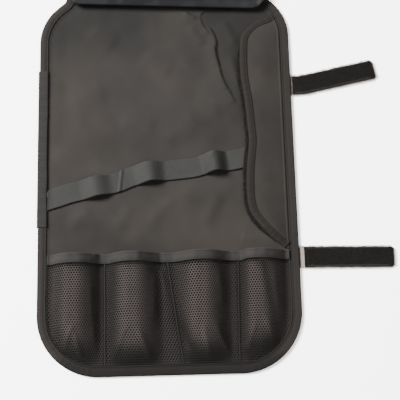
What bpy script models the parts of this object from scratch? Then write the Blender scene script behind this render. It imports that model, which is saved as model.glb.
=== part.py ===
"""Chef knife roll, lying open on its back with its top flap folded forward.

Metres, +Z up. +Y runs from the pocket end (the foot) to the folded flap, and
+X to the side that the closure straps leave. The origin is on the underside,
at the middle of the body. Lengths "up the roll" are measured from the foot.

The body, neck and top flap are one cloth sheet. It is drawn flat, as x across
and s along, with h as the height above its back face, and lay() bends that
drawing over the flap's fold, so what is sewn to the sheet follows the fold.
"""

from collections import namedtuple

import bpy
import numpy as np

MM = 0.001

# Body, neck and flap sheet
BODY_WIDTH = 304 * MM
SHOULDER_HEIGHT = 460 * MM
FOOT_RADIUS = 71 * MM
SHOULDER_SLOPE = np.radians(40)
HEAD_ARC_SHARE = 0.794
SHOULDER_ARC_SHARE = 0.106
NECK_WIDTH = 245 * MM
NECK_SHIFT = 2.5 * MM
NECK_LENGTH = 40 * MM
SHEET_THICKNESS = 2.0 * MM
FOLD_RADIUS = 10 * MM
FOLD_TURN = np.radians(187)
FLAP_LENGTH = 53 * MM
FLAP_SKEW = 12 * MM
FLAP_CORNER_RADIUS = 18 * MM

# Edge binding tape, folded round the sheet's rim
TAPE_THICKNESS = 0.8 * MM
BINDING_WIDTH = 10.5 * MM
CLEARANCE = 0.3 * MM
SIDE_CLEARANCE = 0.8 * MM
RIM_RAMP = 3.6 * MM

# Ribbed tape over the left edge
LEFT_TAPE_FOOT = 174 * MM
LEFT_TAPE_LENGTH = 194 * MM
LEFT_TAPE_WIDTH = 11.2 * MM
LEFT_TAPE_LIP = 3.4 * MM

# Mesh pockets and their hem
POCKET_HEIGHT = 140.5 * MM
MESH_THICKNESS = 1.2 * MM
POCKET_BULGE = 17.5 * MM
BULGE_HALF_WIDTH = 31 * MM
CREST_SPREAD = 1.12
CREST_FULLNESS = 0.85
POUCH_FULLNESS = 0.7
SEAM_FLAT = 2.0 * MM
SEAM_RISE = 9.0 * MM
HEM_WIDTH = 11.5 * MM
HEM_THICKNESS = 1.0 * MM
HEM_CLEARANCE = 0.4 * MM

# Guard flap along the right side
GUARD_GAP = 1.2 * MM
GUARD_LENGTH = 290 * MM
GUARD_WIDTH = 48.5 * MM
GUARD_THICKNESS = 1.6 * MM
GUARD_EDGE_LIFT = 6.4 * MM
GUARD_BULGE = 1.6 * MM
GUARD_RISE_SHARE = 0.42
GUARD_OVERHANG = 1.3
GUARD_TIP_RUN = 28 * MM
GUARD_TIP_WIDTH = 2 * MM
GUARD_SEAM_FLAT = 3 * MM
GUARD_BINDING_WIDTH = 8.0 * MM
GUARD_BINDING_CLEARANCE = 0.9 * MM
GUARD_BINDING_END_SHARE = 0.045
GUARD_PILE_INNER = 14 * MM
GUARD_PILE_OUTER = 4.5 * MM
GUARD_PILE_THICKNESS = 1.3 * MM
GUARD_PILE_CLEARANCE = 0.7 * MM
GUARD_PILE_START_SHARE = 0.13
GUARD_PILE_END_SHARE = 0.83

# Retaining strap across the body
STRAP_FOOT = 205.5 * MM
STRAP_SPAN_SHARE = 0.9453
STRAP_CLIMB = 54.5 * MM
STRAP_WIDTH = 24 * MM
STRAP_THICKNESS = 1.2 * MM
STRAP_PILE_WIDTH = 22 * MM
STRAP_PILE_THICKNESS = 1.0 * MM
STRAP_ARCH_HEIGHT = 10 * MM

# Closure straps at the right edge
CLOSURE_WIDTH = 25 * MM
CLOSURE_LENGTH = 110 * MM
CLOSURE_THICKNESS = 1.2 * MM
CLOSURE_TIP_RADIUS = 5 * MM
CLOSURE_PAD_WIDTH = 23.6 * MM
CLOSURE_PAD_THICKNESS = 1.6 * MM
CLOSURE_BEND_RUN = 14 * MM

# Divider seams between the pockets, as shares of the body width from the
# middle, at the hem and at the foot
Divider = namedtuple("Divider", "hem foot")
DIVIDERS = (
    Divider(hem=-0.243, foot=-0.243),
    Divider(hem=-0.010, foot=0.056),
    Divider(hem=0.266, foot=0.259),
)

# Fullness of each pocket: the crest's place as shares of the body width from
# the middle, at the hem and at the foot, its height as a share of the bulge,
# and the run over which its pouch fills, as a share of the pocket height
Fullness = namedtuple("Fullness", "hem foot height pouch")
POCKETS = (
    Fullness(hem=-0.358, foot=-0.366, height=0.94, pouch=0.242),
    Fullness(hem=-0.138, foot=-0.138, height=1.00, pouch=0.192),
    Fullness(hem=0.126, foot=0.117, height=1.00, pouch=0.202),
    Fullness(hem=0.343, foot=0.330, height=0.96, pouch=0.262),
)

# Guard flap's free edge: how far up its length, and how far out, as shares
GuardEdge = namedtuple("GuardEdge", "up out")
GUARD_EDGE = (
    GuardEdge(up=0.000, out=0.02),
    GuardEdge(up=0.014, out=0.15),
    GuardEdge(up=0.045, out=0.38),
    GuardEdge(up=0.079, out=0.58),
    GuardEdge(up=0.123, out=0.79),
    GuardEdge(up=0.164, out=0.91),
    GuardEdge(up=0.229, out=0.955),
    GuardEdge(up=0.330, out=0.935),
    GuardEdge(up=0.442, out=0.86),
    GuardEdge(up=0.510, out=0.875),
    GuardEdge(up=0.620, out=0.92),
    GuardEdge(up=0.733, out=1.00),
    GuardEdge(up=0.832, out=1.00),
    GuardEdge(up=0.904, out=0.96),
    GuardEdge(up=0.949, out=0.80),
    GuardEdge(up=0.984, out=0.57),
    GuardEdge(up=1.000, out=0.24),
)

# Retaining strap's middle line: how far across its span and up its climb
StrapPoint = namedtuple("StrapPoint", "across up")
STRAP_LINE = (
    StrapPoint(across=0.000, up=0.000),
    StrapPoint(across=0.098, up=0.165),
    StrapPoint(across=0.210, up=0.280),
    StrapPoint(across=0.305, up=0.376),
    StrapPoint(across=0.380, up=0.510),
    StrapPoint(across=0.460, up=0.590),
    StrapPoint(across=0.565, up=0.633),
    StrapPoint(across=0.650, up=0.675),
    StrapPoint(across=0.700, up=0.735),
    StrapPoint(across=0.760, up=0.780),
    StrapPoint(across=0.830, up=0.820),
    StrapPoint(across=0.900, up=0.900),
    StrapPoint(across=1.000, up=1.000),
)

# Places where the strap arches off the panel, as shares of its span and of
# the arch height
Arch = namedtuple("Arch", "centre width height")
STRAP_ARCHES = (
    Arch(centre=0.215, width=0.155, height=0.78),
    Arch(centre=0.452, width=0.150, height=0.86),
    Arch(centre=0.741, width=0.140, height=1.00),
)

# Closure straps: height of the root's middle as a share of the shoulder height,
# length and bare webbing at the root as shares of the closure length, and the
# turn of the free part in degrees
Closure = namedtuple("Closure", "name up length bare turn")
CLOSURES = (
    Closure(name="upper", up=0.7467, length=0.945, bare=0.015, turn=11.7),
    Closure(name="lower", up=0.2859, length=1.000, bare=0.049, turn=-1.2),
)

# Facets: segments of each stretch of the sheet's outline, and of the pieces
FOOT_ARC_STEPS = 11
SIDE_STEPS = 7
HEAD_ARC_STEPS = 6
SHOULDER_ARC_STEPS = 4
NECK_STEPS = 2
FOLD_STEPS = 10
FLAP_STEPS = 3
CORNER_ARC_STEPS = 5
CROSS_STEPS = 7
POCKET_COLUMNS = 12
POCKET_ROWS = 11
POCKET_ROW_GRADING = 1.25
GUARD_ROWS = 30
GUARD_COLUMNS = 6
GUARD_COLUMN_GRADING = 1.2
GUARD_EDGE_STEPS = 120
GUARD_STRIP_COLUMNS = 3
STRAP_STATIONS = 48
STRAP_COLUMNS = 2
CLOSURE_STATIONS = 12
CLOSURE_TIP_STEPS = 4
CLOSURE_COLUMNS = 2
CLOSURE_PATH_STEPS = 400
SPLINE_STEPS = 12

# Sizes worked out from those above
RIM_LIFT = TAPE_THICKNESS + CLEARANCE
BINDING_HEIGHT = 2 * RIM_LIFT + SHEET_THICKNESS
HALF_BODY = BODY_WIDTH / 2
SHOULDER_RUN = (HALF_BODY - NECK_WIDTH / 2 - abs(NECK_SHIFT)) / np.cos(SHOULDER_SLOPE)
ARC_REACH = np.tan((np.pi / 2 - SHOULDER_SLOPE) / 2)
HEAD_RADIUS = HEAD_ARC_SHARE * SHOULDER_RUN / ARC_REACH
SHOULDER_RADIUS = SHOULDER_ARC_SHARE * SHOULDER_RUN / ARC_REACH
INNER_HALF = HALF_BODY - BINDING_WIDTH - SIDE_CLEARANCE
STRAP_SPAN = STRAP_SPAN_SHARE * 2 * INNER_HALF
PANEL_TOP = SHEET_THICKNESS + CLEARANCE
FOLD_START = SHOULDER_HEIGHT + NECK_LENGTH
FOLD_END = FOLD_START + FOLD_RADIUS * FOLD_TURN
SHEET_LENGTH = FOLD_END + FLAP_LENGTH
BODY_MIDDLE = SHOULDER_HEIGHT / 2
GUARD_FOOT = POCKET_HEIGHT + GUARD_GAP


def smoothstep(t):
    """Ease from 0 to 1 as t goes from 0 to 1, level at both ends."""
    t = np.clip(t, 0.0, 1.0)
    return t * t * (3 - 2 * t)


def smooth_chain(points, count):
    """Points at even steps along a Catmull-Rom curve through the given ones."""
    points = np.asarray(points, dtype=float)
    ends = np.vstack([2 * points[0] - points[1], points, 2 * points[-1] - points[-2]])
    along = np.linspace(0, len(points) - 1, SPLINE_STEPS * len(points))
    span = np.minimum(along.astype(int), len(points) - 2)
    t = (along - span)[:, None]
    a, b, c, d = ends[span], ends[span + 1], ends[span + 2], ends[span + 3]
    curve = 0.5 * (2 * b + (c - a) * t + (2 * a - 5 * b + 4 * c - d) * t**2
                   + (3 * b - a - 3 * c + d) * t**3)
    steps = np.linalg.norm(np.diff(curve, axis=0), axis=1)
    length = np.concatenate([[0.0], np.cumsum(steps)])
    even = np.linspace(0, length[-1], count)
    return np.stack([np.interp(even, length, curve[:, k]) for k in range(points.shape[1])], axis=1)


def fillet(before, corner, after, radius, steps):
    """Points of the arc that rounds a corner between two straight stretches."""
    before, corner, after = (np.asarray(p, dtype=float) for p in (before, corner, after))
    into = (corner - before) / np.linalg.norm(corner - before)
    out = (after - corner) / np.linalg.norm(after - corner)
    turn = np.arctan2(into[0] * out[1] - into[1] * out[0], into @ out)
    start = corner - into * radius * np.tan(abs(turn) / 2)
    side = np.sign(turn)
    centre = start + side * radius * np.array([-into[1], into[0]])
    angles = np.linspace(0, turn, steps + 1)
    spoke = start - centre
    x = spoke[0] * np.cos(angles) - spoke[1] * np.sin(angles)
    y = spoke[0] * np.sin(angles) + spoke[1] * np.cos(angles)
    return centre + np.stack([x, y], axis=1)


def stretch(start, end, steps):
    """Points between two ends, without the ends."""
    t = np.linspace(0, 1, steps + 1)[1:-1, None]
    return np.asarray(start) * (1 - t) + np.asarray(end) * t


def side_chain(side):
    """One side of the sheet's outline, from the foot to the flap's end."""
    neck = NECK_SHIFT + side * NECK_WIDTH / 2
    edge = side * HALF_BODY
    end = SHEET_LENGTH + side * FLAP_SKEW / 2
    head = SHOULDER_HEIGHT - abs(edge - neck) * np.tan(SHOULDER_SLOPE)
    foot_arc = fillet((0, 0), (edge, 0), (edge, head), FOOT_RADIUS, FOOT_ARC_STEPS)
    head_arc = fillet((edge, 0), (edge, head), (neck, SHOULDER_HEIGHT), HEAD_RADIUS, HEAD_ARC_STEPS)
    shoulder = fillet((edge, head), (neck, SHOULDER_HEIGHT), (neck, FOLD_START),
                      SHOULDER_RADIUS, SHOULDER_ARC_STEPS)
    corner = fillet((neck, FOLD_END), (neck, end), (NECK_SHIFT, SHEET_LENGTH),
                    FLAP_CORNER_RADIUS, CORNER_ARC_STEPS)
    return np.vstack([
        foot_arc,
        stretch(foot_arc[-1], head_arc[0], SIDE_STEPS),
        head_arc,
        shoulder,
        stretch(shoulder[-1], (neck, FOLD_START), NECK_STEPS),
        [(neck, FOLD_START)],
        stretch((neck, FOLD_START), (neck, FOLD_END), FOLD_STEPS),
        [(neck, FOLD_END)],
        stretch((neck, FOLD_END), corner[0], FLAP_STEPS),
        corner,
    ])


def outline_loop():
    """The sheet's whole outline, counter-clockwise, and its two side lengths."""
    right = side_chain(1)
    left = side_chain(-1)
    loop = np.vstack([
        right,
        stretch(right[-1], left[-1], CROSS_STEPS),
        left[::-1],
        stretch(left[0], right[0], CROSS_STEPS),
    ])
    return loop, len(right)


def offset_loop(loop, inward):
    """A closed loop moved inwards by one distance, with mitred corners."""
    before = loop - np.roll(loop, 1, axis=0)
    after = np.roll(loop, -1, axis=0) - loop
    before /= np.linalg.norm(before, axis=1, keepdims=True)
    after /= np.linalg.norm(after, axis=1, keepdims=True)
    bisector = before + after
    bisector /= np.linalg.norm(bisector, axis=1, keepdims=True)
    normal = np.stack([-bisector[:, 1], bisector[:, 0]], axis=1)
    mitre = np.sum(bisector * after, axis=1, keepdims=True)
    return loop + normal * inward / mitre


def lay(x, s, h):
    """Bend sheet positions over the flap's fold, and set the origin's height.

    The back face turns on an arc of the fold radius and h stands inside it.
    """
    turn = np.clip((s - FOLD_START) / FOLD_RADIUS, 0, FOLD_TURN)
    flat = np.minimum(s, FOLD_START)
    tail = np.maximum(s - FOLD_END, 0)
    y = flat + FOLD_RADIUS * np.sin(turn) + tail * np.cos(FOLD_TURN) - h * np.sin(turn)
    z = FOLD_RADIUS * (1 - np.cos(turn)) + tail * np.sin(FOLD_TURN) + h * np.cos(turn)
    return np.stack([x + 0 * y, y - BODY_MIDDLE, z], axis=-1)


def grid_faces(rows, columns):
    """Quads of a grid whose vertices run along each row in turn."""
    index = np.arange(rows * columns).reshape(rows, columns)
    corners = (index[:-1, :-1], index[:-1, 1:], index[1:, 1:], index[1:, :-1])
    return np.stack([c.ravel() for c in corners], axis=1)


def panel_face(x, s):
    """Height just clear of the panel's face, which ramps up to the binding's seat."""
    start, _ = outline_loop()
    along = np.roll(start, -1, axis=0) - start
    from_start = np.stack([x, s], axis=-1)[..., None, :] - start
    share = np.clip(np.sum(from_start * along, axis=-1) / np.sum(along**2, axis=-1), 0, 1)
    away = np.linalg.norm(from_start - share[..., None] * along, axis=-1).min(axis=-1)
    ramp = np.clip(1 - (away - BINDING_WIDTH) / RIM_RAMP, 0, 1)
    return PANEL_TOP + RIM_LIFT * ramp


def material(name, colour, roughness):
    """A plain cloth material."""
    made = bpy.data.materials.new(name)
    made.use_nodes = True
    shader = made.node_tree.nodes["Principled BSDF"]
    shader.inputs["Base Color"].default_value = (*colour, 1.0)
    shader.inputs["Roughness"].default_value = roughness
    made.diffuse_color = (*colour, 1.0)
    return made


def add_object(name, vertices, faces, collection, finish):
    """Put a mesh into the collection under its node's name."""
    mesh = bpy.data.meshes.new(name)
    mesh.from_pydata(vertices.reshape(-1, 3).tolist(), [], faces)
    mesh.update()
    piece = bpy.data.objects.new(name, mesh)
    piece.data.materials.append(finish)
    collection.objects.link(piece)
    return piece


def thicken(piece, thickness, side):
    """Give an open surface its wall, above it (1), below it (-1) or about it (0)."""
    wall = piece.modifiers.new("wall", "SOLIDIFY")
    wall.thickness = thickness
    wall.offset = side
    wall.use_even_offset = True
    return piece


def grid_sheet(name, grid, thickness, side, collection, finish):
    """A cloth wall from a grid of points that faces up."""
    rows, columns = grid.shape[:2]
    piece = add_object(name, grid, grid_faces(rows, columns).tolist(), collection, finish)
    return thicken(piece, thickness, side)


def lift_grid(grid, distance):
    """A grid of points moved along its own upward normals."""
    across = np.gradient(grid, axis=1)
    along = np.gradient(grid, axis=0)
    normal = np.cross(across, along)
    normal /= np.linalg.norm(normal, axis=-1, keepdims=True)
    return grid + normal * distance


def swept_profile(name, rings, closed, collection, finish):
    """A solid from one closed profile at each station, capped unless the path closes."""
    stations, corners = rings.shape[:2]
    index = np.arange(stations * corners).reshape(stations, corners)
    following = np.roll(index, -1, axis=0) if closed else index[1:]
    here = index if closed else index[:-1]
    quads = np.stack([here, np.roll(here, -1, axis=1), np.roll(following, -1, axis=1), following], axis=-1)
    faces = quads.reshape(-1, 4).tolist()
    if not closed:
        faces.append(index[0][::-1].tolist())
        faces.append(index[-1].tolist())
    return add_object(name, rings, faces, collection, finish)


def build_main_panel(collection, finish):
    """Body, neck and flap: rings along the rim, rows across inside them."""
    loop, side_count = outline_loop()
    rim = offset_loop(loop, RIM_LIFT)
    seat = offset_loop(loop, BINDING_WIDTH + CLEARANCE / 2)
    inner = offset_loop(loop, BINDING_WIDTH + RIM_RAMP)
    count = len(loop)
    right = inner[:side_count]
    left = inner[side_count + CROSS_STEPS - 1:][:side_count][::-1]
    across = np.linspace(0, 1, CROSS_STEPS + 1)[1:-1]
    rows = right[1:-1, None] * (1 - across[None, :, None]) + left[1:-1, None] * across[None, :, None]
    flat = np.vstack([rim, seat, inner, rows.reshape(-1, 2)])
    lift = np.concatenate([np.full(2 * count, RIM_LIFT), np.zeros(count + rows.shape[0] * rows.shape[1])])
    ring = np.arange(count)
    after = np.roll(ring, -1)
    faces = [np.stack([ring + k * count, after + k * count,
                       after + (k + 1) * count, ring + (k + 1) * count], axis=1) for k in range(2)]
    ladder = np.empty((side_count, CROSS_STEPS + 1), dtype=int)
    ladder[:, 0] = 2 * count + np.arange(side_count)
    ladder[:, -1] = 2 * count + (side_count + CROSS_STEPS - 1 + np.arange(side_count))[::-1]
    ladder[1:-1, 1:-1] = 3 * count + np.arange(rows.shape[0] * rows.shape[1]).reshape(rows.shape[:2])
    ladder[-1, 1:-1] = 2 * count + side_count + np.arange(CROSS_STEPS - 1)
    ladder[0, 1:-1] = 2 * count + (count - 1 - np.arange(CROSS_STEPS - 1))
    corners = (ladder[:-1, :-1], ladder[1:, :-1], ladder[1:, 1:], ladder[:-1, 1:])
    faces.append(np.stack([c.ravel() for c in corners], axis=1))
    points = lay(flat[:, 0], flat[:, 1], SHEET_THICKNESS / 2 + lift)
    piece = add_object("main_panel", points, np.vstack(faces).tolist(), collection, finish)
    return thicken(piece, SHEET_THICKNESS, 0)


def build_edge_binding(collection, finish):
    """A folded tape: one C profile carried round the sheet's whole rim."""
    loop, _ = outline_loop()
    tape = TAPE_THICKNESS
    top = BINDING_HEIGHT
    profile = (
        (0, tape), (tape, 0), (BINDING_WIDTH, 0), (BINDING_WIDTH, tape), (tape, tape),
        (tape, top - tape), (BINDING_WIDTH, top - tape), (BINDING_WIDTH, top), (tape, top), (0, top - tape),
    )
    rings = []
    for inward, height in profile:
        flat = offset_loop(loop, inward)
        rings.append(lay(flat[:, 0], flat[:, 1], height))
    return swept_profile("edge_binding", np.stack(rings, axis=1), True, collection, finish)


def build_left_tape(collection, finish):
    """Ribbed tape folded over the left edge, with a lip down its outer side."""
    inner = -HALF_BODY + LEFT_TAPE_WIDTH - TAPE_THICKNESS
    outer = -HALF_BODY - CLEARANCE
    floor = BINDING_HEIGHT + CLEARANCE
    low = BINDING_HEIGHT - LEFT_TAPE_LIP
    profile = np.array([
        (outer, low), (outer, floor), (inner, floor), (inner, floor + TAPE_THICKNESS),
        (outer - TAPE_THICKNESS / 2, floor + TAPE_THICKNESS),
        (outer - TAPE_THICKNESS, floor + TAPE_THICKNESS / 2), (outer - TAPE_THICKNESS, low),
    ])[::-1]
    along = np.linspace(LEFT_TAPE_FOOT, LEFT_TAPE_FOOT + LEFT_TAPE_LENGTH, SIDE_STEPS + 1)
    x = np.broadcast_to(profile[None, :, 0], (len(along), len(profile)))
    s = np.broadcast_to(along[:, None], x.shape)
    h = np.broadcast_to(profile[None, :, 1], x.shape)
    return swept_profile("left_edge_tape", lay(x, s, h), False, collection, finish)


def inner_foot(x):
    """Height up the roll of the binding's inner line, under each x."""
    inset = BINDING_WIDTH + SIDE_CLEARANCE
    radius = FOOT_RADIUS - inset
    past = np.clip(np.abs(x) - (HALF_BODY - FOOT_RADIUS), 0, radius)
    rise = radius - np.sqrt(np.maximum(radius**2 - past**2, 0))
    return inset + rise


def pocket_bulge(number, x, s):
    """Rise of a pocket's mesh: its crest, its slopes to the seams, its pouch."""
    fullness = POCKETS[number]
    up = s / POCKET_HEIGHT
    crest = BODY_WIDTH * (fullness.foot + (fullness.hem - fullness.foot) * up)
    away = np.abs(x - crest) / BULGE_HALF_WIDTH
    arch = smoothstep(CREST_SPREAD - away) ** CREST_FULLNESS
    rise = smoothstep((s - inner_foot(x)) / (POCKET_HEIGHT * fullness.pouch)) ** POUCH_FULLNESS
    return POCKET_BULGE * fullness.height * arch * rise


def divider_line(number, s):
    """Place across the roll of a divider seam at a height up the roll."""
    divider = DIVIDERS[number]
    up = s / POCKET_HEIGHT
    return BODY_WIDTH * (divider.foot + (divider.hem - divider.foot) * up)


def pocket_edges(number, s):
    """Left and right edges of a pocket, clear of its seams and the binding."""
    left = np.full_like(s, -INNER_HALF) if number == 0 else divider_line(number - 1, s) + CLEARANCE / 2
    last = number == len(POCKETS) - 1
    right = np.full_like(s, INNER_HALF) if last else divider_line(number, s) - CLEARANCE / 2
    return left, right


def seam_settle(x, left, right):
    """0 on the flat strip that a pocket's seam holds, rising to 1 past it."""
    inside = np.minimum(x - left, right - x)
    return smoothstep((inside - SEAM_FLAT) / SEAM_RISE)


def pocket_height_at(number, x, s):
    """Height of a pocket's mesh, pressed flat along its side seams."""
    left, right = pocket_edges(number, s)
    return panel_face(x, s) + MESH_THICKNESS + pocket_bulge(number, x, s) * seam_settle(x, left, right)


def pocket_columns(left, right):
    """Places across a pocket: its flat seam strips and even steps between them."""
    share = np.linspace(0, 1, POCKET_COLUMNS - 1)
    inner = left + SEAM_FLAT + (right - left - 2 * SEAM_FLAT) * share
    return np.concatenate([np.ravel(left)[:1], inner, np.ravel(right)[:1]])


def build_pocket(number, collection, finish):
    """One pocket's mesh wall, from the foot binding to under the hem."""
    top = POCKET_HEIGHT - CLEARANCE
    x_top = pocket_columns(*pocket_edges(number, np.full(1, top)))
    x_foot = pocket_columns(*pocket_edges(number, np.full(1, BINDING_WIDTH)))
    foot = inner_foot(x_foot)
    up = np.linspace(0, 1, POCKET_ROWS + 1) ** POCKET_ROW_GRADING
    s = foot[None, :] + (top - foot[None, :]) * up[:, None]
    lean = (s - BINDING_WIDTH) / (top - BINDING_WIDTH)
    x = x_foot[None, :] + (x_top - x_foot)[None, :] * lean
    grid = lay(x, s, pocket_height_at(number, x, s))
    return grid_sheet(f"pocket_mesh_{number + 1}", grid, MESH_THICKNESS, -1, collection, finish)


def build_hem(collection, finish):
    """The band along the pockets' mouths, which crests over each pocket."""
    levels = np.array([POCKET_HEIGHT - HEM_WIDTH, POCKET_HEIGHT - HEM_WIDTH / 2, POCKET_HEIGHT])
    columns = []
    heights = []
    for number in range(len(POCKETS)):
        lefts, rights = pocket_edges(number, levels)
        x = np.stack([pocket_columns(left, right) for left, right in zip(lefts, rights)])
        columns.append(x)
        heights.append(pocket_height_at(number, x, np.broadcast_to(levels[:, None], x.shape)))
    x = np.concatenate(columns, axis=1)
    h = np.concatenate(heights, axis=1)
    s = np.broadcast_to(levels[:, None], x.shape)
    grid = lift_grid(lay(x, s, h), HEM_CLEARANCE)
    return grid_sheet("pocket_hem", grid, HEM_THICKNESS, 1, collection, finish)


def inner_side(s):
    """Place across the roll of the binding's inner line on the right side."""
    loop, side_count = outline_loop()
    line = offset_loop(loop, BINDING_WIDTH + SIDE_CLEARANCE)[:side_count]
    return np.interp(s, line[:, 1], line[:, 0])


def guard_edge(count):
    """The guard flap's free edge, as x and height up the roll, from its foot."""
    up = np.array([GUARD_FOOT + GUARD_LENGTH * row.up for row in GUARD_EDGE])
    out = np.array([INNER_HALF - GUARD_WIDTH * row.out for row in GUARD_EDGE])
    points = np.stack([np.minimum(out, inner_side(up) - GUARD_TIP_WIDTH), up], axis=1)
    return smooth_chain(points, count)


def guard_underside(x, s):
    """Height of the guard flap's underside: low at its seam, lifted at its edge."""
    edge = guard_edge(GUARD_EDGE_STEPS)
    seam = inner_side(s)
    reach = seam - GUARD_SEAM_FLAT - np.interp(s, edge[:, 1], edge[:, 0])
    out = np.clip((seam - GUARD_SEAM_FLAT - x) / np.maximum(reach, GUARD_TIP_WIDTH), 0, GUARD_OVERHANG)
    from_tips = np.minimum(s - GUARD_FOOT, GUARD_FOOT + GUARD_LENGTH - s)
    ends = smoothstep(from_tips / GUARD_TIP_RUN)
    rise = GUARD_EDGE_LIFT * smoothstep(out / GUARD_RISE_SHARE)
    bulge = GUARD_BULGE * np.sin(np.pi * np.clip(out, 0, 1))
    return panel_face(x, s) + (rise + bulge) * ends


def build_guard_flap(collection, finish):
    """The D-shaped flap that lies over the right side of the body."""
    edge = guard_edge(GUARD_ROWS + 1)
    seam = inner_side(edge[:, 1])[:, None]
    flat = np.minimum(GUARD_SEAM_FLAT, (seam - edge[:, :1]) / 2)
    share = np.linspace(0, 1, GUARD_COLUMNS + 1) ** GUARD_COLUMN_GRADING
    x = np.hstack([edge[:, :1] + (seam - flat - edge[:, :1]) * share[None, :], seam])
    s = np.broadcast_to(edge[:, 1:], x.shape)
    grid = lay(x, s, guard_underside(x, s))
    return grid_sheet("guard_flap", grid, GUARD_THICKNESS, 1, collection, finish)


def offset_chain(chain, inward):
    """An open chain moved to its right-hand side, which is the guard's inside."""
    along = np.gradient(chain, axis=0)
    along /= np.linalg.norm(along, axis=1, keepdims=True)
    return chain + inward * np.stack([along[:, 1], -along[:, 0]], axis=1)


def guard_strip(start, end, outer, inner):
    """Grid of x and height up the roll along the guard's free edge."""
    edge = guard_edge(GUARD_EDGE_STEPS)
    part = edge[int(start * len(edge)):int(end * len(edge))]
    part = part[np.linspace(0, len(part) - 1, GUARD_ROWS).astype(int)]
    across = np.linspace(outer, inner, GUARD_STRIP_COLUMNS + 1)
    return np.stack([offset_chain(part, distance) for distance in across], axis=1)


def build_guard_binding(collection, finish):
    """The tape on the guard flap's free edge, lying on its upper face."""
    flat = guard_strip(GUARD_BINDING_END_SHARE, 1 - GUARD_BINDING_END_SHARE, 0, GUARD_BINDING_WIDTH)
    under = guard_underside(flat[..., 0], flat[..., 1])
    grid = lay(flat[..., 0], flat[..., 1], under + GUARD_THICKNESS + GUARD_BINDING_CLEARANCE)
    return grid_sheet("guard_flap_binding", grid, TAPE_THICKNESS, 1, collection, finish)


def build_guard_pile(collection, finish):
    """The pile strip under the guard flap's edge, which shows outside it."""
    flat = guard_strip(GUARD_PILE_START_SHARE, GUARD_PILE_END_SHARE, -GUARD_PILE_OUTER, GUARD_PILE_INNER)
    under = guard_underside(flat[..., 0], flat[..., 1])
    grid = lay(flat[..., 0], flat[..., 1], under - GUARD_PILE_CLEARANCE)
    return grid_sheet("guard_flap_pile", grid, GUARD_PILE_THICKNESS, -1, collection, finish)


def strap_grid(width):
    """The retaining strap's underside, before the arches' offset, as a grid."""
    line = smooth_chain([(-INNER_HALF + STRAP_SPAN * p.across, STRAP_FOOT + STRAP_CLIMB * p.up)
                         for p in STRAP_LINE], STRAP_STATIONS + 1)
    along = np.gradient(line, axis=0)
    along /= np.linalg.norm(along, axis=1, keepdims=True)
    side = np.stack([-along[:, 1], along[:, 0]], axis=1)
    across = np.linspace(-width / 2, width / 2, STRAP_COLUMNS + 1)
    flat = line[:, None] + side[:, None] * across[None, :, None]
    share = (line[:, 0] + INNER_HALF) / STRAP_SPAN
    lift = np.zeros(len(line))
    for arch in STRAP_ARCHES:
        near = np.clip((share - arch.centre) / (arch.width / 2), -1, 1)
        lift += STRAP_ARCH_HEIGHT * arch.height * np.cos(near * np.pi / 2) ** 2
    flat[0, :, 0] = np.maximum(flat[0, :, 0], -INNER_HALF)
    height = panel_face(flat[..., 0], flat[..., 1]) + STRAP_PILE_THICKNESS + CLEARANCE + lift[:, None]
    return lay(flat[..., 0], flat[..., 1], height).transpose(1, 0, 2)


def build_strap(collection, finish, pile_finish):
    """The retaining strap's webbing, and the pile sewn under it."""
    webbing = grid_sheet("retaining_strap", strap_grid(STRAP_WIDTH), STRAP_THICKNESS, 1, collection, finish)
    pile = lift_grid(strap_grid(STRAP_PILE_WIDTH), -CLEARANCE)
    backing = grid_sheet("retaining_strap_pile", pile, STRAP_PILE_THICKNESS, -1, collection, pile_finish)
    return webbing, backing


def closure_grid(closure, width, start):
    """A closure strap's face seen from above: level, bent, then straight."""
    length = CLOSURE_LENGTH * closure.length
    along = np.linspace(start, length, CLOSURE_STATIONS)
    tip = length - CLOSURE_TIP_RADIUS * (1 - np.cos(np.linspace(np.pi / 2, 0, CLOSURE_TIP_STEPS)))
    along = np.concatenate([along[along < tip[0]], tip])
    turned = np.radians(closure.turn) * smoothstep((along - CLOSURE_BEND_RUN / 2) / CLOSURE_BEND_RUN)
    fine = np.linspace(0, length, CLOSURE_PATH_STEPS)
    heading = np.radians(closure.turn) * smoothstep((fine - CLOSURE_BEND_RUN / 2) / CLOSURE_BEND_RUN)
    step = fine[1] - fine[0]
    x = np.interp(along, fine, np.cumsum(np.cos(heading)) * step)
    s = np.interp(along, fine, np.cumsum(np.sin(heading)) * step)
    to_tip = np.clip(length - along, 0, CLOSURE_TIP_RADIUS)
    half = width / 2 - CLOSURE_TIP_RADIUS + np.sqrt(CLOSURE_TIP_RADIUS**2 - (CLOSURE_TIP_RADIUS - to_tip)**2)
    across = half[None, :] * np.linspace(-1, 1, CLOSURE_COLUMNS + 1)[:, None]
    root = HALF_BODY + CLEARANCE
    middle = SHOULDER_HEIGHT * closure.up
    return root + x - across * np.sin(turned), middle + s + across * np.cos(turned)


def build_closure(closure, collection, finish, pile_finish):
    """A closure strap's webbing and the loop pile pad on its face."""
    x, s = closure_grid(closure, CLOSURE_WIDTH, 0.0)
    name = f"closure_strap_{closure.name}"
    webbing = grid_sheet(name, lay(x, s, 0 * x), CLOSURE_THICKNESS, 1, collection, finish)
    x, s = closure_grid(closure, CLOSURE_PAD_WIDTH, CLOSURE_LENGTH * closure.bare)
    height = CLOSURE_THICKNESS + CLEARANCE + 0 * x
    pad = grid_sheet(f"closure_pad_{closure.name}", lay(x, s, height), CLOSURE_PAD_THICKNESS, 1,
                     collection, pile_finish)
    return webbing, pad


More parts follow.
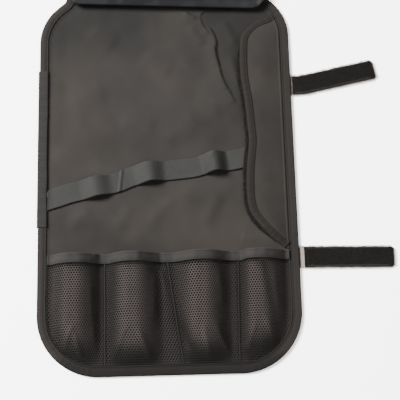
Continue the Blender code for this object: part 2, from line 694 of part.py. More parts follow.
def main():
    """Clear the scene and build the roll's pieces in one collection."""
    for existing in list(bpy.data.objects):
        bpy.data.objects.remove(existing, do_unlink=True)
    collection = bpy.data.collections.new("chef_knife_roll")
    bpy.context.scene.collection.children.link(collection)
    nylon = material("woven_nylon_panel", (0.082, 0.078, 0.076), 0.75)
    tape = material("grosgrain_binding", (0.050, 0.048, 0.047), 0.80)
    webbing = material("grey_webbing", (0.092, 0.090, 0.089), 0.80)
    mesh = material("pocket_mesh_cloth", (0.021, 0.018, 0.017), 0.70)
    hem = material("hem_tape", (0.044, 0.041, 0.038), 0.80)
    pile = material("black_loop_pile", (0.016, 0.015, 0.013), 0.95)
    light_webbing = material("light_webbing", (0.200, 0.165, 0.150), 0.85)

    build_main_panel(collection, nylon)
    build_edge_binding(collection, tape)
    build_left_tape(collection, tape)
    for number in range(len(POCKETS)):
        build_pocket(number, collection, mesh)
    build_hem(collection, hem)
    build_guard_flap(collection, nylon)
    build_guard_binding(collection, tape)
    build_guard_pile(collection, pile)
    build_strap(collection, webbing, pile)
    for closure in CLOSURES:
        build_closure(closure, collection, light_webbing, pile)


main()
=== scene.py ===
"""Dress the chef knife roll: cloth, mesh, webbing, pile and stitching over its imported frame.

The roll lies open on its back. x runs across it, "up the roll" is counted from
its foot, and a flat drawing of the sheet, as x across and s along, is bent over
the top flap's fold, so every piece that is sewn to the sheet follows the fold.
"""

import logging
from dataclasses import dataclass, field
from enum import Enum
from typing import NamedTuple

import bpy
import numpy as np
from mathutils import Matrix


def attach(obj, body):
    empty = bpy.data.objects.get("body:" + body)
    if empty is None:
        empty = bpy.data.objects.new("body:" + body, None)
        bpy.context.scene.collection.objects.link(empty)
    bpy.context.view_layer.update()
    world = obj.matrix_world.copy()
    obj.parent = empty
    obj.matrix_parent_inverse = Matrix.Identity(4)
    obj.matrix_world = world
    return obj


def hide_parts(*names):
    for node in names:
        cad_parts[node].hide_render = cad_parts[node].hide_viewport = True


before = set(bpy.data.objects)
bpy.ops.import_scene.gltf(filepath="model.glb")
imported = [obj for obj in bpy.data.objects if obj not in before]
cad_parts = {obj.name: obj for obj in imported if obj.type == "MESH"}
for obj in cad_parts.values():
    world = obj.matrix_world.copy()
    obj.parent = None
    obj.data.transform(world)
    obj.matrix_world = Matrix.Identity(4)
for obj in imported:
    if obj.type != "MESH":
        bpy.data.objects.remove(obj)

log = logging.getLogger("knife_roll")

MM = 0.001
BODY = "root"


# Shape tools

def smoothstep(t: np.ndarray) -> np.ndarray:
    """Ease from 0 to 1 as t goes from 0 to 1: t squared times three less twice t."""
    t = np.clip(t, 0.0, 1.0)
    return t * t * (3 - 2 * t)


def bell(distance: np.ndarray, width: float) -> np.ndarray:
    """A bump of height 1: e to the minus square of the distance over the width."""
    return np.exp(-np.square(distance / width))


def lengths(chain: np.ndarray) -> np.ndarray:
    """Running length along a chain of points, from 0."""
    steps = np.linalg.norm(np.diff(chain, axis=0), axis=1)
    return np.concatenate([[0.0], np.cumsum(steps)])


def resample(chain: np.ndarray, count: int) -> np.ndarray:
    """Put points at even steps along a chain.

    Args:
        chain: Points in order, one a row.
        count: Points wanted, both ends among them.

    Returns:
        The points, read from the chain between its own by running length.
    """
    length = lengths(chain)
    even = np.linspace(0, length[-1], count)
    return np.stack([np.interp(even, length, chain[:, k]) for k in range(chain.shape[1])], axis=1)


def smooth_chain(points: np.ndarray, count: int) -> np.ndarray:
    """Points at even steps along a Catmull-Rom curve.

    Between two points the curve is the cubic whose slope at each is half the
    step from its neighbour before to its neighbour after.

    Args:
        points: The points that the curve passes through.
        count: Points wanted.

    Returns:
        The curve's points.
    """
    points = np.asarray(points, dtype=float)
    ends = np.vstack([2 * points[0] - points[1], points, 2 * points[-1] - points[-2]])
    along = np.linspace(0, len(points) - 1, 12 * len(points))
    span = np.minimum(along.astype(int), len(points) - 2)
    t = (along - span)[:, None]
    a, b, c, d = ends[span], ends[span + 1], ends[span + 2], ends[span + 3]
    curve = 0.5 * (2 * b + (c - a) * t + (2 * a - 5 * b + 4 * c - d) * t**2
                   + (3 * b - a - 3 * c + d) * t**3)
    return resample(curve, count)


def fillet(before: tuple, corner: tuple, after: tuple, radius: float, steps: int) -> np.ndarray:
    """Points of the arc that rounds a corner.

    The arc's centre stands a radius off the line into the corner, and its spoke
    turns through the corner's own turn.

    Args:
        before: A point on the line into the corner.
        corner: The sharp corner.
        after: A point on the line out of it.
        radius: The arc's radius.
        steps: Segments of the arc.

    Returns:
        The arc's points.
    """
    before, corner, after = (np.asarray(p, dtype=float) for p in (before, corner, after))
    into = (corner - before) / np.linalg.norm(corner - before)
    out = (after - corner) / np.linalg.norm(after - corner)
    turn = np.arctan2(into[0] * out[1] - into[1] * out[0], into @ out)
    start = corner - into * radius * np.tan(abs(turn) / 2)
    centre = start + np.sign(turn) * radius * np.array([-into[1], into[0]])
    angles = np.linspace(0, turn, steps + 1)
    spoke = start - centre
    x = spoke[0] * np.cos(angles) - spoke[1] * np.sin(angles)
    y = spoke[0] * np.sin(angles) + spoke[1] * np.cos(angles)
    return centre + np.stack([x, y], axis=1)


def offset_loop(loop: np.ndarray, inward: float | np.ndarray) -> np.ndarray:
    """A closed loop moved inwards along its corners' bisectors, with mitred corners."""
    before = loop - np.roll(loop, 1, axis=0)
    after = np.roll(loop, -1, axis=0) - loop
    before /= np.linalg.norm(before, axis=1, keepdims=True)
    after /= np.linalg.norm(after, axis=1, keepdims=True)
    bisector = before + after
    bisector /= np.linalg.norm(bisector, axis=1, keepdims=True)
    normal = np.stack([-bisector[:, 1], bisector[:, 0]], axis=1)
    mitre = np.sum(bisector * after, axis=1, keepdims=True)
    return loop + normal * np.reshape(inward, (-1, 1)) / mitre


def offset_chain(chain: np.ndarray, aside: float) -> np.ndarray:
    """An open chain moved to its right by a distance, square to its own run."""
    along = np.gradient(chain, axis=0)
    along /= np.linalg.norm(along, axis=1, keepdims=True)
    return chain + aside * np.stack([along[:, 1], -along[:, 0]], axis=1)


def grid_normals(grid: np.ndarray) -> np.ndarray:
    """Upward normals of a grid: across its columns crossed with along its rows."""
    normal = np.cross(np.gradient(grid, axis=1), np.gradient(grid, axis=0))
    return normal / np.maximum(np.linalg.norm(normal, axis=-1, keepdims=True), 1e-12)


def edge_stations(length: float, step: float, edge: float) -> np.ndarray:
    """Places across a strip, packed closer at both edges so that they can round.

    Args:
        length: The strip's width.
        step: Spacing in the middle.
        edge: Run of the rounding at each edge.

    Returns:
        Distances from the first edge.
    """
    lip = edge * np.array([0.0, 0.12, 0.42])
    middle = np.linspace(edge, length - edge, max(3, int(round(length / step))))
    return np.concatenate([lip, middle, length - lip[::-1]])


def edge_share(place: np.ndarray, length: float, edge: float) -> np.ndarray:
    """Wall's share of its thickness near an edge: a quarter circle over the edge's run."""
    near = np.clip(np.minimum(place, length - place) / edge, 0, 1)
    return 0.22 + 0.78 * np.sqrt(1 - np.square(1 - near))


class Undulation:
    """Seeded soft noise from -1 to 1, with swells about two cells long."""

    def __init__(self, seed: int, cell: float) -> None:
        """Draw the lattice.

        Args:
            seed: The random draw's seed.
            cell: Lattice spacing in metres.
        """
        self.cell = cell
        self.lattice = np.random.default_rng(seed).uniform(-1, 1, (97, 97))

    def __call__(self, x: np.ndarray, y: np.ndarray) -> np.ndarray:
        """Read the noise: the four nearest lattice values, eased between with smoothstep."""
        u, v = np.broadcast_arrays(x / self.cell + 40, y / self.cell + 40)
        i, j = np.floor(u).astype(int), np.floor(v).astype(int)
        a, b = smoothstep(u - i), smoothstep(v - j)
        cell = self.lattice
        low = cell[i % 97, j % 97] * (1 - a) + cell[(i + 1) % 97, j % 97] * a
        high = cell[i % 97, (j + 1) % 97] * (1 - a) + cell[(i + 1) % 97, (j + 1) % 97] * a
        return low * (1 - b) + high * b


# Mesh tools

def grid_quads(index: np.ndarray) -> np.ndarray:
    """Quads of a grid of vertex numbers, facing up where columns run along x and rows along y."""
    corners = (index[:-1, :-1], index[:-1, 1:], index[1:, 1:], index[1:, :-1])
    return np.stack([c.ravel() for c in corners], axis=1)


class Shell(NamedTuple):
    """A mesh on its way into Blender: points, quads, and a UV, wear and seam value a point; the wear value lightens
    for rubbing and painted highlights, the seam value darkens as painted shade.
    """

    points: np.ndarray
    quads: np.ndarray
    uv: np.ndarray
    wear_and_highlight: np.ndarray
    seam: np.ndarray


def two_faced(top: np.ndarray, bottom: np.ndarray, uv: np.ndarray,
              wear_and_highlight: np.ndarray | float = 0.0, seam: np.ndarray | float = 0.0) -> Shell:
    """Close a sheet from its two faces, given as grids of one shape, with quads round the rim.

    Args:
        top: The upper face's points.
        bottom: The lower face's points.
        uv: Flat coordinates of each grid point, in metres.
        wear_and_highlight: How rubbed each grid point is, and how much painted highlight it takes, from 0 to 1.
        seam: How dark each grid point is made, from 0 to 1: painted shade in seams, grooves, creases and under parts,
            and darker tone in places.

    Returns:
        The closed shell.
    """
    rows, columns = top.shape[:2]
    index = np.arange(rows * columns).reshape(rows, columns)
    under = index + rows * columns
    rim = np.concatenate([index[0, :-1], index[:-1, -1], index[-1, :0:-1], index[:0:-1, 0]])
    after = np.roll(rim, -1)
    size = rows * columns
    walls = np.stack([rim + size, after + size, after, rim], axis=1)
    quads = np.vstack([grid_quads(index), grid_quads(under)[:, ::-1], walls])
    points = np.vstack([top.reshape(-1, 3), bottom.reshape(-1, 3)])
    shape = (rows, columns)
    both = [np.tile(np.broadcast_to(value, shape).ravel(), 2) for value in (wear_and_highlight, seam)]
    return Shell(points, quads, np.tile(uv.reshape(-1, 2), (2, 1)), *both)


def walled(middle: np.ndarray, thickness: np.ndarray | float, uv: np.ndarray,
           wear_and_highlight: np.ndarray | float = 0.0, seam: np.ndarray | float = 0.0) -> Shell:
    """Give a middle surface two faces, half the thickness off it along its own normals."""
    rise = grid_normals(middle) * (np.broadcast_to(thickness, middle.shape[:2])[..., None] / 2)
    return two_faced(middle + rise, middle - rise, uv, wear_and_highlight, seam)


def swept(rings: np.ndarray, closed: bool, uv: np.ndarray,
          wear_and_highlight: np.ndarray | float = 0.0, seam: np.ndarray | float = 0.0) -> Shell:
    """Carry a closed profile along a path; an open path's ends are drawn in to a closing slit.

    Args:
        rings: Points, a station a row and the profile's corners along it.
        closed: Whether the path runs back into itself.
        uv: Flat coordinates of each point.
        wear_and_highlight: How rubbed each point is, and how much painted highlight it takes.
        seam: How dark each point is made: painted shade in seams, grooves and under parts, and darker tone in places.

    Returns:
        The shell.
    """
    stations, corners = rings.shape[:2]
    index = np.arange(stations * corners).reshape(stations, corners)
    here = index if closed else index[:-1]
    following = np.roll(index, -1, axis=0) if closed else index[1:]
    quads = [np.stack([here, np.roll(here, -1, axis=1), np.roll(following, -1, axis=1), following],
                      axis=-1).reshape(-1, 4)]
    if not closed:
        half = corners // 2
        fold = np.arange(half - 1)
        back = corners - 1 - fold
        cap = np.stack([fold, fold + 1, back - 1, back], axis=1)
        quads += [index[0][cap][:, ::-1], index[-1][cap]]
    both = [np.broadcast_to(value, (stations, corners)).ravel() for value in (wear_and_highlight, seam)]
    return Shell(rings.reshape(-1, 3), np.vstack(quads), uv.reshape(-1, 2), *both)


def merge(shells: list[Shell]) -> Shell:
    """One shell from several, with the quads renumbered."""
    starts = np.cumsum([0] + [len(s.points) for s in shells[:-1]])
    quads = np.vstack([s.quads + start for s, start in zip(shells, starts)])
    joined = (np.concatenate([getattr(s, name) for s in shells]) for name in ("uv", "wear_and_highlight", "seam"))
    return Shell(np.vstack([s.points for s in shells]), quads, *joined)


def make_piece(name: str, shell: Shell, finishes: list[bpy.types.Material],
               second: np.ndarray | None = None) -> bpy.types.Object:
    """Put a shell into Blender as one smooth shaded piece at the origin.

    Args:
        name: The piece's name.
        shell: Its points, quads and values.
        finishes: Its material slots.
        second: For each quad, whether it takes the second material.

    Returns:
        The piece, riding on the roll's body.
    """
    mesh = bpy.data.meshes.new(name)
    mesh.from_pydata(shell.points.tolist(), [], shell.quads.tolist())
    corner = np.empty(len(mesh.loops), dtype=np.int32)
    mesh.loops.foreach_get("vertex_index", corner)
    layer = mesh.uv_layers.new(name="flat")
    layer.data.foreach_set("uv", shell.uv[corner].astype(np.float32).ravel())
    for label in ("wear_and_highlight", "seam"):
        values = mesh.attributes.new(label, "FLOAT", "POINT")
        values.data.foreach_set("value", getattr(shell, label).astype(np.float32))
    mesh.polygons.foreach_set("use_smooth", np.ones(len(mesh.polygons), dtype=bool))
    for finish in finishes:
        mesh.materials.append(finish)
    if second is not None:
        mesh.polygons.foreach_set("material_index", second.astype(np.int32))
    mesh.update()
    piece = bpy.data.objects.new(name, mesh)
    bpy.context.scene.collection.objects.link(piece)
    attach(piece, BODY)
    log.info("%s: %d quads", name, len(shell.quads))
    return piece


def stitches(chain: np.ndarray, normal: np.ndarray, pitch: float, length: float,
             radius: float) -> Shell:
    """Lay a row of lockstitches on a line, each a six-sided spindle bowed over the cloth.

    A stitch's middle line rises by the sine of its run, and its radius shrinks
    to a point at both ends, where the thread goes down into the cloth.

    Args:
        chain: The line on the cloth's face, as points.
        normal: The face's normal at each point.
        pitch: Distance from one stitch to the next.
        length: Each stitch's length.
        radius: The thread's radius.

    Returns:
        All the stitches in one shell.
    """
    run = lengths(chain)
    count = int(run[-1] / pitch)
    t = np.array([0.0, 0.14, 0.5, 0.86, 1.0])
    girth = radius * np.array([0.12, 0.75, 1.0, 0.75, 0.12])
    places = (np.arange(count)[:, None] + 0.5) * pitch + (t[None, :] - 0.5) * length
    line = np.stack([np.interp(places, run, chain[:, k]) for k in range(3)], axis=-1)
    up = np.stack([np.interp(places, run, normal[:, k]) for k in range(3)], axis=-1)
    up /= np.linalg.norm(up, axis=-1, keepdims=True)
    along = np.gradient(line, axis=1)
    along /= np.linalg.norm(along, axis=-1, keepdims=True)
    side = np.cross(along, up)
    line = line + up * (radius * (1.5 * np.sin(np.pi * t) - 0.7))[None, :, None]
    angle = np.arange(6) * np.pi / 3
    ring = (line[:, :, None] + girth[None, :, None, None]
            * (np.cos(angle)[:, None] * side[:, :, None] + np.sin(angle)[:, None] * up[:, :, None]))
    index = np.arange(5 * 6).reshape(5, 6)
    body = np.stack([index[:-1], index[1:], np.roll(index[1:], -1, axis=1),
                     np.roll(index[:-1], -1, axis=1)], axis=-1).reshape(-1, 4)
    ends = np.array([[0, 1, 2, 3], [0, 3, 4, 5], [27, 26, 25, 24], [29, 28, 27, 24]])
    quads = np.vstack([body, ends])
    quads = (quads[None] + 30 * np.arange(count)[:, None, None]).reshape(-1, 4)
    uv = np.broadcast_to(np.stack(np.meshgrid(angle / 6, t), axis=-1) * length, (count, 5, 6, 2))
    flat = np.zeros(count * 30)
    return Shell(ring.reshape(-1, 3), quads, uv.reshape(-1, 2), flat, flat)


def pile_loops(places: np.ndarray, normal: np.ndarray, height: float, reach: float,
               radius: float, seed: int) -> Shell:
    """Stand a small loop of yarn at each place, leaning each its own way.

    A loop is an arch: half a circle stretched to its height, of three-sided
    yarn in four segments, turned about the face's normal by a random angle and
    pushed over by a random lean.

    Args:
        places: Where the loops stand.
        normal: The face's normal at each place.
        height: A loop's height.
        reach: Distance between a loop's feet.
        radius: The yarn's radius.
        seed: The random draw's seed.

    Returns:
        All the loops in one shell.
    """
    draw = np.random.default_rng(seed)
    count = len(places)
    heading = draw.uniform(0, 2 * np.pi, count)
    tall = height * draw.uniform(0.65, 1.2, count)
    flat = np.stack([np.cos(heading), np.sin(heading), np.zeros(count)], axis=1)
    flat -= normal * np.sum(flat * normal, axis=1, keepdims=True)
    flat /= np.linalg.norm(flat, axis=1, keepdims=True)
    side = np.cross(normal, flat)
    lean = side * draw.uniform(-0.55, 0.55, (count, 1)) + flat * draw.uniform(-0.4, 0.4, (count, 1))
    t = np.linspace(0, np.pi, 5)
    arch = (places[:, None] + flat[:, None] * (reach / 2 * -np.cos(t))[None, :, None]
            + (normal + lean)[:, None] * (tall[:, None] * np.sin(t)[None] ** 0.8)[..., None])
    along = np.gradient(arch, axis=1)
    along /= np.linalg.norm(along, axis=-1, keepdims=True)
    out = np.cross(along, side[:, None])
    angle = np.arange(3) * 2 * np.pi / 3
    ring = arch[:, :, None] + radius * (np.cos(angle)[:, None] * side[:, None, None]
                                        + np.sin(angle)[:, None] * out[:, :, None])
    index = np.arange(15).reshape(5, 3)
    quads = np.stack([index[:-1], index[1:], np.roll(index[1:], -1, axis=1),
                      np.roll(index[:-1], -1, axis=1)], axis=-1).reshape(-1, 4)
    quads = (quads[None] + 15 * np.arange(count)[:, None, None]).reshape(-1, 4)
    uv = np.repeat(places[:, :2], 15, axis=0)
    wear_and_highlight = np.repeat(draw.uniform(0, 1, count) ** 3, 15)
    return Shell(ring.reshape(-1, 3), quads, uv, wear_and_highlight, np.zeros(count * 15))


# Finishes

def linear(code: str) -> tuple[float, float, float, float]:
    """Turn an sRGB hex colour to linear light, by the standard's straight and power parts."""
    value = np.array([int(code[k:k + 2], 16) for k in (1, 3, 5)]) / 255
    light = np.where(value <= 0.04045, value / 12.92, ((value + 0.055) / 1.055) ** 2.4)
    return (*light.tolist(), 1.0)


def add_node(tree: bpy.types.NodeTree, kind: str, settings: dict, links: dict) -> bpy.types.Node:
    """Add a node.

    Args:
        tree: The material's node tree.
        kind: The node's type.
        settings: Values by property name, or by socket name or number.
        links: Sockets that feed this node's, by socket name or number.

    Returns:
        The node.
    """
    node = tree.nodes.new(kind)
    for name, value in settings.items():
        if isinstance(name, str) and hasattr(node, name):
            setattr(node, name, value)
        else:
            node.inputs[name].default_value = value
    for name, source in links.items():
        tree.links.new(source, node.inputs[name])
    return node


class Weave(Enum):
    """How a cloth's threads run."""

    PLAIN = "over and under, both ways"
    RIB = "ribs across a narrow tape"
    KNIT = "knitted strands"
    PILE = "loops of yarn"


@dataclass(frozen=True)
class ClothFinish:
    """A dyed cloth: its colours, its weave and how its threads scatter light.

    Attributes:
        title: The real material and how it was made.
        shade: Its common colour.
        warm: The browner colour of its blotches.
        deep: The darker colour of its blotches, and of the shade painted down between its threads and in its seams,
            creases and grooves.
        worn_and_highlight: The colour where it is rubbed, and of painted highlights.
        weave: How its threads run.
        pitch: Thread spacing in metres, as coarse as it needs to show.
        relief: Height of the threads in metres.
        roughness: The shader's roughness.
        sheen: The shader's sheen weight.
        blotch: Size of its blotches in metres.
        blotch_share: How strongly the blotches colour it.
    """

    title: str
    shade: str
    warm: str
    deep: str
    worn_and_highlight: str
    weave: Weave
    pitch: float
    relief: float
    roughness: float = 0.8
    sheen: float = 0.012
    blotch: float = 0.04
    blotch_share: float = 0.3

    def threads(self, tree: bpy.types.NodeTree, flat: bpy.types.NodeSocket) -> bpy.types.NodeSocket:
        """Height of the threads, from 0 to 1.

        A band of threads is the sine of the flat coordinate, one wave a pitch.
        A plain weave takes the higher of two bands at right angles, and a rib
        is one band along the piece with a faint one across it.

        Args:
            tree: The material's node tree.
            flat: The piece's flat coordinates in metres.

        Returns:
            The socket with the height.
        """
        # A wave node draws one band each 0.314 units at a scale of 1
        bands = {"wave_type": "BANDS", "Scale": 0.314159 / self.pitch, "Distortion": 0.6,
                 "Detail": 1.0, "Detail Scale": 0.7}
        if self.weave is Weave.PILE:
            fuzz = add_node(tree, "ShaderNodeTexNoise", {"Scale": 0.6 / self.pitch, "Detail": 3.0},
                            {"Vector": flat})
            return fuzz.outputs["Fac"]
        first = add_node(tree, "ShaderNodeTexWave", {**bands, "bands_direction": "X"}, {"Vector": flat})
        second = add_node(tree, "ShaderNodeTexWave", {**bands, "bands_direction": "Y"}, {"Vector": flat})
        if self.weave is Weave.RIB:
            faint = add_node(tree, "ShaderNodeMath", {"operation": "MULTIPLY", 1: 0.35},
                             {0: second.outputs["Fac"]})
            return add_node(tree, "ShaderNodeMath", {"operation": "MAXIMUM"},
                            {0: first.outputs["Fac"], 1: faint.outputs[0]}).outputs[0]
        return add_node(tree, "ShaderNodeMath", {"operation": "MAXIMUM"},
                        {0: first.outputs["Fac"], 1: second.outputs["Fac"]}).outputs[0]

    def tint(self, tree: bpy.types.NodeTree, share: bpy.types.NodeSocket,
             under: bpy.types.NodeSocket, over: str) -> bpy.types.NodeSocket:
        """Mix one more colour over the cloth's, by a share."""
        mixed = add_node(tree, "ShaderNodeMix", {"data_type": "RGBA", 7: linear(over)},
                         {0: share, 6: under})
        return mixed.outputs[2]

    def spread(self, tree: bpy.types.NodeTree, source: bpy.types.NodeSocket,
               low: float, high: float, most: float) -> bpy.types.NodeSocket:
        """Stretch a value that runs from low to high to run from 0 to the most."""
        ranged = add_node(tree, "ShaderNodeMapRange",
                          {"interpolation_type": "SMOOTHSTEP", "From Min": low, "From Max": high,
                           "To Max": most}, {"Value": source})
        return ranged.outputs[0]

    def make(self) -> bpy.types.Material:
        """Build the cloth's material.

        The blotches are two noises of the blotch's size on Object coordinates,
        one towards the warm colour and one towards the deep one. Shade is painted
        down between the threads, the piece's wear value pulls towards the worn colour
        for rubbing and painted highlights, and its seam value towards the deep colour as painted shade.

        Returns:
            The material.
        """
        made = bpy.data.materials.new(self.title)
        made.use_nodes = True
        tree = made.node_tree
        shader = tree.nodes["Principled BSDF"]
        shader.inputs["Roughness"].default_value = self.roughness
        shader.inputs["Sheen Weight"].default_value = self.sheen
        shader.inputs["Sheen Roughness"].default_value = 0.6
        shader.inputs["Specular IOR Level"].default_value = 0.05
        place = add_node(tree, "ShaderNodeTexCoord", {}, {})
        flat = place.outputs["UV"]
        whole = place.outputs["Object"]
        height = self.threads(tree, flat)
        large = add_node(tree, "ShaderNodeTexNoise", {"Scale": 0.5 / self.blotch, "Detail": 3.0,
                                                      "Roughness": 0.6}, {"Vector": whole})
        other = add_node(tree, "ShaderNodeTexNoise", {"Scale": 1.1 / self.blotch, "Detail": 2.0,
                                                      "noise_dimensions": "4D", "W": 3.7},
                         {"Vector": whole})
        fibre = add_node(tree, "ShaderNodeTexNoise", {"Scale": 0.8 / self.pitch, "Detail": 2.0},
                         {"Vector": flat})
        wear_and_highlight = add_node(tree, "ShaderNodeAttribute", {"attribute_name": "wear_and_highlight"}, {})
        seam = add_node(tree, "ShaderNodeAttribute", {"attribute_name": "seam"}, {})
        base = add_node(tree, "ShaderNodeRGB", {}, {})
        base.outputs[0].default_value = linear(self.shade)
        colour = self.tint(tree, self.spread(tree, large.outputs["Fac"], 0.42, 0.62, self.blotch_share),
                           base.outputs[0], self.warm)
        colour = self.tint(tree, self.spread(tree, other.outputs["Fac"], 0.45, 0.68,
                                             0.6 * self.blotch_share), colour, self.deep)
        colour = self.tint(tree, self.spread(tree, fibre.outputs["Fac"], 0.5, 0.75, 0.25), colour, self.worn_and_highlight)
        # Painted shade: darker down between the threads.
        colour = self.tint(tree, self.spread(tree, height, 0.55, 0.1, 0.35), colour, self.deep)
        # Rubbing and painted highlights, by the piece's wear value.
        colour = self.tint(tree, wear_and_highlight.outputs["Fac"], colour, self.worn_and_highlight)
        # Painted shade by the piece's seam value, with darker tone in places.
        colour = self.tint(tree, seam.outputs["Fac"], colour, self.deep)
        tree.links.new(colour, shader.inputs["Base Color"])
        bump = add_node(tree, "ShaderNodeBump", {"Strength": 0.8, "Distance": self.relief},
                        {"Height": height})
        tree.links.new(bump.outputs["Normal"], shader.inputs["Normal"])
        return made


class Wardrobe:
    """Every finish of the roll, made once."""

    def __init__(self) -> None:
        """Make the materials."""
        # Pack cloth of textured nylon, piece dyed: matt, with soft brown and grey blotches.
        # Its threads are half a millimetre apart and are drawn at twice that to show.
        self.lining = ClothFinish("nylon_pack_cloth_woven", shade="#1a1817", warm="#1e1b18",
                                  deep="#0e0e0d", worn_and_highlight="#242321", weave=Weave.PLAIN,
                                  pitch=1.0 * MM, relief=0.12 * MM,
                                  blotch=0.075, blotch_share=0.75).make()
        # The same cloth's outer layer, dyed a cooler grey, which the folded flap shows.
        self.outer = ClothFinish("nylon_outer_cloth_woven", shade="#090a0b", warm="#0c0d0d",
                                 deep="#040505", worn_and_highlight="#131415", weave=Weave.PLAIN,
                                 pitch=1.0 * MM, relief=0.12 * MM).make()
        # Polyester binding tape, woven narrow and folded: fine cross ribs and a dull sheen.
        self.tape = ClothFinish("polyester_binding_tape_woven", shade="#151312", warm="#181513",
                                deep="#080706", worn_and_highlight="#25221f", weave=Weave.RIB,
                                pitch=1.1 * MM, relief=0.10 * MM, blotch_share=0.3).make()
        # Nylon webbing, woven thick: flat ribs along the strap that catch the light.
        self.webbing = ClothFinish("nylon_webbing_woven", shade="#1d1d1c", warm="#1f1d1c",
                                   deep="#100e0e", worn_and_highlight="#2a2927", weave=Weave.RIB,
                                   pitch=1.5 * MM, relief=0.18 * MM, blotch_share=0.3).make()
        # Polyester net, warp knitted: thin dark strands, slightly glossy on their crowns.
        self.net = ClothFinish("polyester_net_warp_knitted", shade="#181514", warm="#1c1715",
                               deep="#090807", worn_and_highlight="#36302e", weave=Weave.KNIT,
                               pitch=0.8 * MM, relief=0.06 * MM, roughness=0.6,
                               blotch_share=0.3).make()
        # The pockets' hem tape, woven and folded over the net's edge.
        self.hem = ClothFinish("polyester_hem_tape_woven", shade="#1a1918", warm="#1e1b1a",
                               deep="#0d0c0b", worn_and_highlight="#2b2927", weave=Weave.RIB,
                               pitch=1.1 * MM, relief=0.10 * MM, blotch_share=0.3).make()
        # Loop tape, knitted and brushed: black loops of fine yarn that hold no highlight.
        self.pile = ClothFinish("nylon_loop_tape_knitted", shade="#080807", warm="#0a0909",
                                deep="#050303", worn_and_highlight="#292523", weave=Weave.PILE,
                                pitch=0.9 * MM, relief=0.3 * MM, roughness=0.95,
                                blotch=0.012).make()
        # Undyed cotton and polyester webbing under the closure pads, woven: greyish beige.
        self.pale_webbing = ClothFinish("cotton_webbing_woven", shade="#635b55", warm="#6b625d",
                                        deep="#413b36", worn_and_highlight="#887f79", weave=Weave.RIB,
                                        pitch=1.2 * MM, relief=0.15 * MM, blotch=0.01).make()
        # The same thread in grey, half sunk in the loops that it holds down.
        self.pale_thread = ClothFinish("polyester_pale_thread_twisted", shade="#4a4541", warm="#524c46",
                                       deep="#302c29", worn_and_highlight="#6b645d", weave=Weave.KNIT,
                                       pitch=0.5 * MM, relief=0.05 * MM, roughness=0.55,
                                       blotch=0.01).make()
        # Bonded polyester thread, twisted: a dark cord with a faint gloss.
        self.thread = ClothFinish("polyester_thread_twisted", shade="#1a1817", warm="#1e1b19",
                                  deep="#0e0b0b", worn_and_highlight="#2e2a28", weave=Weave.KNIT,
                                  pitch=0.5 * MM, relief=0.05 * MM, roughness=0.55,
                                  blotch=0.01).make()


# The sheet that everything is sewn to

class Arch(NamedTuple):
    """A place where the retaining strap stands off, as shares of its span and height."""

    centre: float
    width: float
    height: float


class Crease(NamedTuple):
    """A wrinkle of the panel, in mm: its ends across and up, its height, its width, the run
    of the sharp drop along it, 0 for none, and its bow."""

    x0: float
    up0: float
    x1: float
    up1: float
    height: float
    width: float
    drop: float
    bow: float


CREASES = (
    Crease(x0=44, up0=438, x1=58, up1=410, height=1.7, width=9.0, drop=1.9, bow=-2.0),
    Crease(x0=54, up0=424, x1=65, up1=392, height=2.8, width=9.0, drop=2.3, bow=3.0),
    Crease(x0=62, up0=400, x1=68, up1=366, height=3.6, width=10.0, drop=3.0, bow=-1.0),
    Crease(x0=66, up0=374, x1=80, up1=334, height=2.7, width=9.0, drop=2.4, bow=-2.5),
    Crease(x0=77, up0=341, x1=86, up1=322, height=1.5, width=9.0, drop=2.2, bow=-0.5),
    Crease(x0=70, up0=432, x1=86, up1=392, height=1.9, width=6.0, drop=0.0, bow=2.0),
    Crease(x0=80, up0=388, x1=93, up1=338, height=1.8, width=6.0, drop=0.0, bow=-2.0),
    Crease(x0=32, up0=428, x1=50, up1=398, height=1.6, width=7.0, drop=0.0, bow=-3.0),
    Crease(x0=24, up0=444, x1=43, up1=434, height=2.0, width=5.0, drop=1.3, bow=-1.0),
    Crease(x0=52, up0=447, x1=44, up1=435, height=1.3, width=5.0, drop=1.8, bow=0.0),
    Crease(x0=-95, up0=420, x1=-60, up1=395, height=1.6, width=13.0, drop=0.0, bow=3.0),
    Crease(x0=-120, up0=330, x1=-70, up1=345, height=1.5, width=15.0, drop=0.0, bow=-4.0),
    Crease(x0=-30, up0=385, x1=10, up1=360, height=1.6, width=14.0, drop=0.0, bow=4.0),
    Crease(x0=-60, up0=300, x1=-10, up1=292, height=1.5, width=12.0, drop=0.0, bow=3.0),
    Crease(x0=20, up0=300, x1=70, up1=318, height=1.6, width=13.0, drop=0.0, bow=-3.0),
    Crease(x0=-22, up0=172, x1=10, up1=208, height=1.8, width=8.0, drop=0.0, bow=2.0),
    Crease(x0=40, up0=172, x1=62, up1=214, height=1.8, width=8.0, drop=0.0, bow=-2.0),
    Crease(x0=-118, up0=168, x1=-88, up1=196, height=1.6, width=8.0, drop=0.0, bow=2.0),
    Crease(x0=-62, up0=166, x1=-44, up1=202, height=1.6, width=8.0, drop=0.0, bow=-2.0),
    Crease(x0=84, up0=158, x1=104, up1=150, height=1.5, width=7.0, drop=0.0, bow=-2.0),
)


